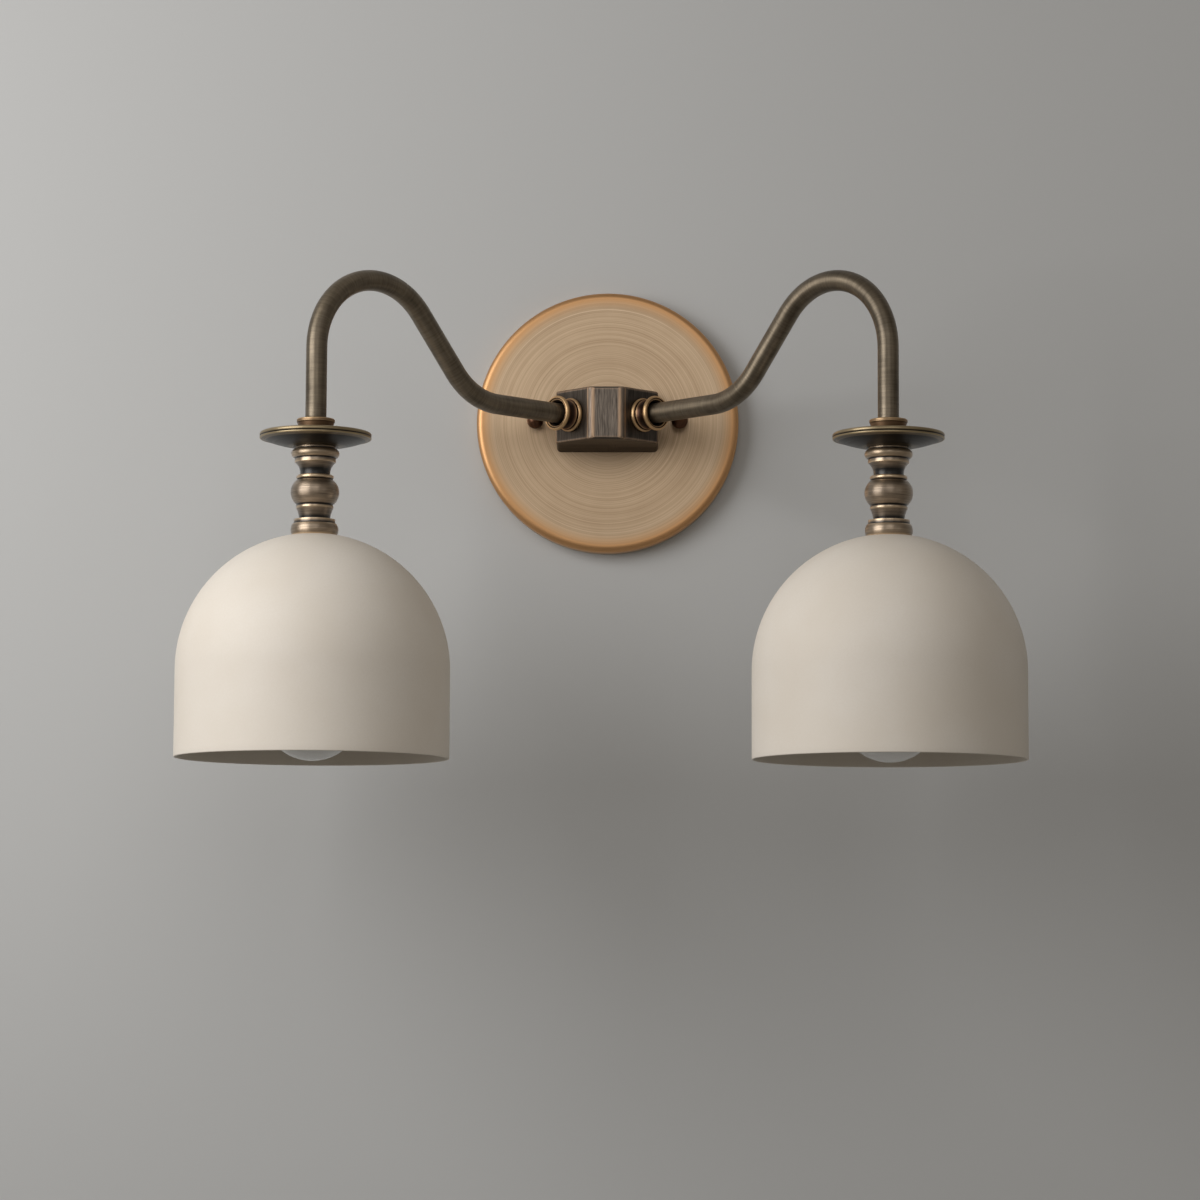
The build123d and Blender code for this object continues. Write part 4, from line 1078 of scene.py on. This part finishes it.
# ---------------------------------------------------------------- arms
@dataclass
class Arm:
    """One bent tube with its spool collar. Sizes in millimetres."""

    side: Side
    angle: float = math.radians(45.0)
    meeting_depth: float = 14.0
    reach: float = 181.0
    rise: float = 48.5
    bend_radius: float = 35.0
    slope: float = math.radians(49.0)
    radius: float = 4.75
    wall: float = 1.0
    start: float = 17.9  # inside the body
    end: float = -40.2  # inside the neck
    segments: int = 64
    seat: float = 23.9
    collar_length: float = 10.6
    grip: float = 4.85

    @property
    def direction(self) -> Vector:
        """Unit vector outwards along the arm's level run."""
        return Vector((self.side.value * math.cos(self.angle), -math.sin(self.angle), 0))

    @property
    def root(self) -> Vector:
        """Where the two arms' axes would meet, in metres."""
        return Vector((0, -self.meeting_depth * MM, 0))

    def centre_line(self) -> Array:
        """The tube's centre line in the arm's plane, as (outwards, up).

        Level run, slope and leg are straight and tangent to two arcs of the bend radius; the
        slope passes below the arch so that the arch just reaches the rise.

        Returns:
            The line, one row to a point.
        """
        bend, turn = self.bend_radius, self.slope
        arch = np.array([self.reach - bend, self.rise - bend])
        way = np.array([math.cos(turn), math.sin(turn)])
        touch = arch + bend * np.array([-way[1], way[0]])
        foot = touch[0] - touch[1] / math.tan(turn)
        tangent = bend * math.tan(turn / 2)
        half, crest = turn / 2, (turn + math.pi / 2) / 2
        hollow = (foot - tangent + bend * math.sin(half), bend - bend * math.cos(half))
        line = drawn(
            (self.start, 0), (foot - tangent, 0),
            (hollow, (foot + tangent * way[0], tangent * way[1]), 20), touch,
            (arch + bend * np.array([math.cos(crest), math.sin(crest)]), (self.reach, arch[1]), 60),
            (self.reach, self.end),
        )
        return divided(line, 2.0, closed=False)

    def make_tube(self) -> None:
        """Makes the tube: rings carried along the centre line, outside and back inside.

        A point at angle a of a ring is centre + radius * (cos a * normal + sin a * across). The
        third value of the grain is the distance along the tube, so the brush lines run round it.
        """
        line = self.centre_line()
        place = run_length(line)
        way = np.gradient(line, place, axis=0)
        way /= np.linalg.norm(way, axis=1)[:, None]
        angle = np.arange(self.segments) * math.tau / self.segments
        outwards, up = np.array(self.direction), np.array(LAMP_AXIS)
        normal = -way[:, 1:] * outwards + way[:, :1] * up
        spot = (line[:, :1] * outwards + line[:, 1:] * up)[:, None]
        across = np.sin(angle)[None, :, None] * np.cross(outwards, up)
        spoke = np.cos(angle)[None, :, None] * normal[:, None] + across
        rings = [spot + self.radius * spoke, (spot + (self.radius - self.wall) * spoke)[::-1]]
        name = f"{self.side.prefix}_arm"
        piece = grid_object(f"{name}_tube", np.array(self.root) + MM * np.concatenate(rings))
        along = np.repeat(np.concatenate([place, place[::-1]])[:, None], len(angle), axis=1)
        around = [np.ones_like(along) * self.radius * f(angle) for f in (np.cos, np.sin)]
        ahead = way[:, :1] * outwards + way[:, 1:] * up
        lay = np.repeat(np.concatenate([ahead, ahead[::-1]])[:, None], len(angle), axis=1)
        write_fields(piece, np.stack([*around, along], axis=-1), lay, np.zeros(along.size))
        close_and_smooth(piece)
        finish_piece(piece, "dark_bronze", FIXTURE, name, "oil_rubbed_bronze_tube")

    def make_collar(self) -> None:
        """Makes the spool collar: two beads, grooves, a waist and a stepped mouth."""
        seat, end, grip = self.seat, self.seat + self.collar_length, self.grip
        outline = drawn(
            (grip, 0), (7.2, 0), ((8.1, 1.2), (7.3, 2.2), 12),
            (6.5, 2.3), (6.5, 2.6), (7.1, 2.8), ((6.3, 5.3), (7.1, 7.8), 12),
            (6.5, 8.0), (6.5, 8.3), (7.5, 8.4), ((8.3, 9.4), (7.5, 10.5), 12),
            (7.3, 10.5), (7.2, 9.9), (7.0, 9.9), ((6.65, 10.2), (6.3, 9.9), 8),
            (6.2, 9.0), (5.8, 9.0), (5.8, 3.4), (grip, 3.4),
            base=seat,
        )

        def film(line: Array) -> Array:
            """Dark film in the mouth, and some left on the waist and the inner ring.

            Args:
                line: The outline.

            Returns:
                The wear to add at each of its points.
            """
            radius, level = line.T
            beads = (level < seat + 2.3) | ((level > end - 2.3) & (radius > 7.25))
            return np.where(radius < 6.25, -1.0, np.where(beads, 0.0, -0.3))

        line = softened(outline, 0.12, 0.6)
        name = f"{self.side.prefix}_spool_collar"
        piece = turned(name, line, self.root, self.direction, 96, spread=0.8, film=film)
        finish_piece(piece, "collar_brass", FIXTURE, f"{self.side.prefix}_collar")

    def build(self) -> None:
        """Makes the arm's pieces."""
        self.make_tube()
        self.make_collar()


# ---------------------------------------------------------------- lamps
@dataclass
class Lamp:
    """Ring, pan, neck, shade, lampholder and bulb of one side. Sizes in millimetres.

    The outlines of turned work are drawn on its own foot or top, as (radius, level).
    """

    side: Side
    x: float = 127.986
    y: float = -141.986
    neck_top: float = -31.7
    neck_foot: float = -71.7
    pan_floor: float = -28.6
    tube_grip: float = 4.85
    nipple_radius: float = 4.75
    nipple_bore: float = 3.25
    nipple_pitch: float = 1.0
    shade_radius: float = 61.0
    shade_wall: float = 1.0
    shade_rim: float = -170.9
    crown_radius: float = 11.5
    crown_hole: float = 5.2
    cup_top: float = -84.2
    insulator_top: float = -90.0
    shell_radius: float = 13.7
    shell_wall: float = 0.2
    bulb_tip: float = -97.0
    bulb_length: float = 75.0
    bulb_radius: float = 22.5
    glass_neck: float = 12.5
    glass_wall: float = 0.8
    glass_blend: float = math.radians(38.0)  # how far above its equator the ball turns to the neck
    cap_length: float = 21.6
    cap_radius: float = 12.4
    tip_height: float = 3.6
    screw_pitch: float = 3.6

    @property
    def origin(self) -> Vector:
        """A point of the lamp's axis, at level 0, in metres."""
        return Vector((self.side.value * self.x * MM, self.y * MM, 0))

    def turn(
        self,
        name: str,
        line: Array,
        slot: str,
        node: str,
        body: str = FIXTURE,
        finish: Optional[str] = None,
        **options: Any,
    ) -> None:
        """Turns a piece about the lamp's axis and finishes it.

        Args:
            name: The piece's name without its side.
            line: Its finished outline.
            slot: The record's material slot.
            node: The CAD node that it replaces, without its side.
            body: The CAD body that it moves with.
            finish: Name of a finish other than the slot's usual one.
            **options: Further options of turned().
        """
        piece = turned(f"{self.side.prefix}_{name}", line, self.origin, LAMP_AXIS, **options)
        finish_piece(piece, slot, body, f"{self.side.prefix}_{node}", finish)

    def make_ring(self) -> None:
        """Makes the tapered ring that stands in the pan."""
        grip = self.tube_grip
        outline = drawn(
            (grip, 0), (5.95, 0), (8.3, 8.0), (8.55, 8.2), (8.55, 9.25), (8.2, 9.6), (grip, 9.6),
            base=self.pan_floor,
        )
        line, finish = softened(outline, 0.12, 0.8), "mottled_brown_brass"
        self.turn("tapered_ring", line, "collar_brass", "ring_collar", finish=finish, spread=0.3)

    def make_pan(self) -> None:
        """Makes the dished pan: hub, thin dish and an upright rim with a groove between beads."""
        under, grip = self.neck_top, self.tube_grip
        outline = drawn(
            (grip, 0), (9.8, 0), ((17.4, 1.5), (23.8, 3.6), 16), (24.2, 3.7),
            ((25.0, 4.1), (24.65, 4.65), 8), ((25.0, 5.7), (24.2, 6.5), 10),
            (23.4, 5.94), ((17.4, 3.1), (9.8, 3.1), 16), (grip, 3.1),
            base=under,
        )

        def film(line: Array) -> Array:
            """Painted shade under the dish, less next to the hub, and in the gap above the neck; the top of
            the rim a little lighter.

            Args:
                line: The outline.

            Returns:
                The wear to add at each of its points.
            """
            radius, level = line.T
            level = level - under
            middle = np.interp(radius, [9.8, 17.4, 25.0], [1.5, 2.3, 3.5])
            # painted shade under the dish and at the hub's foot
            dish = -0.85 * (level < middle) * np.clip((radius - 9.8) / 4, 0.3, 1)
            return dish - 0.9 * (level < 0.05) + 0.1 * (level > 4.9)

        options = {"segments": 192, "spread": 0.4, "film": film}
        line, finish = softened(outline, 0.12, 0.8), "darkened_antique_brass"
        self.turn("dished_pan", line, "aged_brass", "pan", finish=finish, **options)

    def make_neck(self) -> None:
        """Makes the turned neck: torus, fillet, cove, bead, ball and back again."""
        outline = drawn(
            (4.8, 0), (9.9, 0), ((10.7, 2.7), (9.9, 5.4), 14),
            (9.3, 5.5), (9.3, 7.4), (6.9, 7.4), (6.9, 7.9), ((7.4, 10.15), (8.0, 11.9), 10),
            ((8.4, 12.9), (8.0, 13.9), 10), ((10.85, 19.6), (8.0, 25.3), 28),
            (7.5, 25.3), ((8.4, 26.35), (7.5, 27.4), 10),
            (6.75, 27.4), (6.75, 27.9), ((7.25, 30.7), (8.9, 33.0), 12),
            (9.2, 33.0), (9.2, 34.9), (9.0, 34.9), ((10.75, 37.05), (9.0, 39.2), 14),
            (9.0, 40.0), (4.8, 40.0), (4.8, 31.5), (3.6, 31.5), (3.6, 12.0), (4.8, 12.0),
            base=self.neck_foot,
        )

        def film(line: Array) -> Array:
            """Dark film in the fillets, thinning out over the coves."""
            return np.interp(line[:, 0], [6.9, 7.1, 8.1], [-1.0, -0.4, 0.0])

        line = softened(outline, 0.12, 0.7)
        self.turn("turned_neck", line, "aged_brass", "neck", spread=0.6, film=film)

    def make_shade(self) -> None:
        """Makes the shade: a spherical dome on a straight skirt, one wall thick."""
        outer, inner, rim = self.shade_radius, self.shade_radius - self.shade_wall, self.shade_rim
        top, ceiling = self.neck_foot, self.neck_foot - self.shade_wall
        centre = top - math.sqrt(outer**2 - self.crown_radius**2)
        crown_inner = math.sqrt(inner**2 - (ceiling - centre) ** 2)
        outline = drawn(
            (inner, rim), (outer, rim), (outer, centre),
            ((outer * SLANT, centre + outer * SLANT), (self.crown_radius, top), 64),
            (self.crown_hole, top), (self.crown_hole, ceiling), (crown_inner, ceiling),
            ((inner * SLANT, centre + inner * SLANT), (inner, centre), 64),
        )
        line = softened(outline, 0.4, 3.0)
        self.turn("dome_shade", line, "shade_cream", "shade", segments=224, spread=0.5)

    def make_clamp(self) -> None:
        """Makes the threaded nipple and the washer under the crown."""
        low, high = self.cup_top + 0.6, self.neck_foot + 11.9
        radius, bore = self.nipple_radius, self.nipple_bore
        outline = drawn((bore, low), (radius, low), (radius, high), (bore, high))
        swell = thread(-0.25, self.nipple_pitch, 0.0, lambda around, level: around > radius - 0.02)
        line = softened(outline, 0.2, 0.2)
        self.turn("threaded_nipple", line, "zinc_steel", "nipple", segments=48, swell=swell)
        ceiling = self.neck_foot - self.shade_wall
        outline = drawn((4.85, -1.2), (11.0, -1.2), (11.0, 0), (4.85, 0), base=ceiling)
        line = softened(outline, 0.2, 2.0)
        self.turn("flat_washer", line, "zinc_steel", "shade_washer", segments=96)

    def make_holder(self) -> None:
        """Makes the lampholder's drawn cap, moulded body and rolled screw shell."""
        bend = 3.5 * SLANT
        outline = drawn(
            (4.8, -1.6), (14.85, -1.6), (16.6, -3.5), (16.6, -13.8), (17.4, -13.8), (17.4, -3.5),
            ((13.9 + bend, bend - 3.5), (13.9, 0), 16), (7.0, 0), (7.0, 7.0), (4.8, 7.0),
            base=self.cup_top,
        )
        line = softened(outline, 0.3, 1.5)
        self.turn("holder_cup", line, "cap_brass", "holder_cap", segments=96)
        roof = self.insulator_top
        outline = drawn(
            (14.0, -34.0), (16.3, -34.0), (16.3, -29.0), (16.5, -28.8),
            (16.5, 0), (0, 0), (0, -4.0), (14.0, -4.0),
            base=roof,
        )
        line = softened(outline, 0.4, 1.5)
        self.turn("moulded_insulator", line, "phenolic", "insulator", segments=96)
        high, low = roof - 4.1, roof - 30.1
        outer, inner = self.shell_radius, self.shell_radius - self.shell_wall
        swell = thread(0.2, self.screw_pitch, low, lambda radius, level: 1.0)
        line = softened(drawn((inner, low), (outer, low), (outer, high), (inner, high)), 0.05, 0.4)
        self.turn("rolled_screw_shell", line, "shell_aluminium", "screw_shell", swell=swell)

    def blended(self, radius: float, neck: float, centre: float, end: float) -> tuple[tuple, tuple]:
        """Where the bulb's ball gives way to the arc that leads up to its neck.

        Args:
            radius: Radius of the ball.
            neck: Radius of the neck.
            centre: Level of the ball's centre.
            end: Level at which the arc meets the neck upright.

        Returns:
            The end of the ball, and a middle point of the arc.
        """
        side = (radius * math.cos(self.glass_blend), centre + radius * math.sin(self.glass_blend))
        across, up = side[0] - neck, end - side[1]
        bend = (across**2 + up**2) / (2 * across)
        half = math.asin(up / bend) / 2
        return side, (neck + bend * (1 - math.cos(half)), end - bend * math.sin(half))

    def make_bulb(self) -> None:
        """Makes the bulb: opal ball on a neck, rolled screw cap and button."""
        body = f"{self.side.prefix}_bulb"
        bottom, ball, wall = self.bulb_tip - self.bulb_length, self.bulb_radius, self.glass_wall
        cap_top = self.bulb_tip - self.tip_height
        cap_foot = cap_top - self.cap_length
        centre, inner = bottom + ball, ball - wall
        neck, neck_inner = self.glass_neck, self.glass_neck - wall
        side_out, middle_out = self.blended(ball, neck, centre, cap_foot)
        side_in, middle_in = self.blended(inner, neck_inner, centre, cap_foot)
        outline = drawn(
            (0, bottom), ((ball * SLANT, centre - ball * SLANT), side_out, 48),
            (middle_out, (neck, cap_foot), 24), (neck_inner, cap_foot),
            (middle_in, side_in, 24), ((inner * SLANT, centre - inner * SLANT), (0, bottom + wall), 48),
        )
        line = softened(outline, 0.1, 1.5)
        self.turn("opal_globe", line, "opal_glass", "bulb_glass", body, segments=128)
        button = cap_top + 2.4
        outline = drawn(
            (self.cap_radius - 0.5, cap_foot), (self.cap_radius, cap_foot), (self.cap_radius, cap_top),
            (5.3, button), (4.8, button), (self.cap_radius - 0.5, cap_top),
        )

        def fade(radius: Array, level: Array) -> Array:
            """How much of the thread shows: it runs out over the last 2 mm at both ends."""
            return np.clip((level - cap_foot) / 2, 0, 1) * np.clip((cap_top - level) / 2, 0, 1)

        swell = thread(0.8, self.screw_pitch, cap_foot, fade)
        line = softened(outline, 0.2, 0.4)
        self.turn("screw_cap", line, "shell_aluminium", "bulb_cap", body, segments=96, swell=swell)
        outline = drawn(
            (0, -1.2), (4.7, -1.2), (4.7, 0), (2.8, 0), ((2.0, 0.85), (0, 1.2), 12), base=button
        )
        self.turn("solder_button", softened(outline, 0.15, 0.6), "bulb_button", "bulb_tip", body)

    def build(self) -> None:
        """Makes the lamp's pieces from the top down."""
        self.make_ring()
        self.make_pan()
        self.make_neck()
        self.make_shade()
        self.make_clamp()
        self.make_holder()
        self.make_bulb()


# ---------------------------------------------------------------- studio
@dataclass
class Studio:
    """Camera, floor, backdrop and lights. Sizes in metres."""

    lens: float = 106.584
    sensor: float = 36.0
    clip_start: float = 0.05
    clip_end: float = 50.0
    camera_place: tuple = (0.0338, -1.7134, -0.2588)
    yaw: float = math.radians(-1.247)
    pitch: float = math.radians(5.766)
    roll: float = math.radians(0.2416)
    floor_level: float = -1.4
    wall_gap: float = 0.0004  # between the plate's back and the backdrop
    room: float = 4.0
    floor_hole: float = 0.01
    box_radius: float = 0.061  # hole in the wall behind the plate, where the junction box sits
    sheet_spans: int = 96
    lamp_target: tuple = (0.0, -0.08, -0.06)
    # Name to place, width of the soft box and watts.
    lamps: tuple = (
        ("key", (-0.72, -0.66, 0.18), 0.7, 6.3),
        ("front", (0.1, -2.1, 0.75), 1.3, 5.5),
        ("fill", (1.8, -1.9, 0.4), 1.2, 1.2),
        ("behind", (0.4, 1.4, 0.5), 1.0, 6.0),
    )
    world_colour: str = "#F5ECDF"
    world_level: float = 0.2

    def make_camera(self) -> None:
        """Stands the camera where the photograph's was, turned by yaw, pitch and roll."""
        data = bpy.data.cameras.new("camera")
        data.lens, data.sensor_width = self.lens, self.sensor
        data.clip_start, data.clip_end = self.clip_start, self.clip_end
        camera = placed("camera", data)
        flat = math.cos(self.pitch)
        ahead = Vector((math.sin(self.yaw) * flat, math.cos(self.yaw) * flat, math.sin(self.pitch)))
        turn = ahead.to_track_quat("-Z", "Y").to_matrix() @ Matrix.Rotation(self.roll, 3, "Z")
        camera.matrix_world = Matrix.Translation(self.camera_place) @ turn.to_4x4()
        bpy.context.scene.camera = camera

    def sheet(self, name: str, rings: Sequence[Array], material: bpy.types.Material) -> None:
        """Adds a flat stage sheet between two closed lines.

        Args:
            name: Name of the sheet.
            rings: The inner and the outer line, with as many points each.
            material: Its material.
        """
        near = np.arange(len(rings[0]))
        far = np.roll(near, -1)
        mesh = bpy.data.meshes.new(name)
        faces = np.column_stack([near, near + len(near), far + len(near), far])
        mesh.from_pydata(np.concatenate(rings).tolist(), [], faces.tolist())
        mesh.materials.append(material)
        piece = placed(name, mesh)

    def make_stage(self) -> None:
        """Makes a pale floor and a painted backdrop wall that shows from its front only."""
        floor = Finish("pale_floor", Roughness=0.8, Specular_IOR_Level=0.1, Base_Color=linear("#C8C8C6"))
        wall = Finish("pale_backdrop", Roughness=0.85, Specular_IOR_Level=0.1, Base_Color=linear("#C4C4C3"))
        behind = add_node(wall.tree, "ShaderNodeNewGeometry", {}).outputs["Backfacing"]
        clear = add_node(wall.tree, "ShaderNodeBsdfTransparent", {}).outputs[0]
        inputs = {0: behind, 1: wall.surface.outputs[0], 2: clear}
        mix = add_node(wall.tree, "ShaderNodeMixShader", inputs)
        out = next(n for n in wall.tree.nodes if n.type == "OUTPUT_MATERIAL")
        wall.tree.links.new(mix.outputs[0], out.inputs["Surface"])
        angle = np.arange(self.sheet_spans) * math.tau / self.sheet_spans
        across, along = np.cos(angle), np.sin(angle)
        level, gap = np.full_like(angle, self.floor_level), np.full_like(angle, self.wall_gap)
        sizes = (self.floor_hole, self.room)
        rings = [np.column_stack([size * across, size * along, level]) for size in sizes]
        self.sheet("floor", rings, floor.material)
        inner = np.column_stack([self.box_radius * across, gap, self.box_radius * along])
        height = np.maximum(self.room * along, self.floor_level)
        outer = np.column_stack([self.room * across, gap, height])
        self.sheet("backdrop", [inner, outer], wall.material)

    def make_lights(self) -> None:
        """Makes the key at the left, soft lights in front and behind, a weak fill and the world."""
        for name, place, size, watts in self.lamps:
            data = bpy.data.lights.new(name, "AREA")
            data.shape, data.size, data.energy = "SQUARE", size, watts
            lamp = placed(name, data)
            lamp.location = place
            ahead = Vector(self.lamp_target) - Vector(place)
            lamp.rotation_euler = ahead.to_track_quat("-Z", "Y").to_euler()
        world = bpy.data.worlds.new("studio")
        bpy.context.scene.world = world
        world.use_nodes = True
        surface = next(n for n in world.node_tree.nodes if n.type == "BACKGROUND")
        surface.inputs["Color"].default_value = linear(self.world_colour)
        surface.inputs["Strength"].default_value = self.world_level

    def build(self) -> None:
        """Makes camera, stage and lights."""
        self.make_camera()
        self.make_stage()
        self.make_lights()
        bpy.context.scene.view_settings.view_transform = "Standard"


def dress_frame(frame: dict) -> None:
    """Gives every CAD node the finish of its record slot.
    """
    slots = {part["node"]: part["material_slot"] for part in frame["record"]["subparts"]}
    for name, node in frame["nodes"].items():
        node.data.materials.clear()
        node.data.materials.append(bpy.data.materials[SLOT_FINISH[slots[name]]])


def main() -> None:
    """Builds the sconce's looks."""
    logging.basicConfig(level=logging.INFO, format="%(message)s")
    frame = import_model()
    for finish in FINISHES:
        finish.build()
    dress_frame(frame)
    WallPlate().build()
    CastBody().build()
    for side in Side:
        Arm(side).build()
        Lamp(side).build()
    Studio().build()


if __name__ == "__main__":
    main()
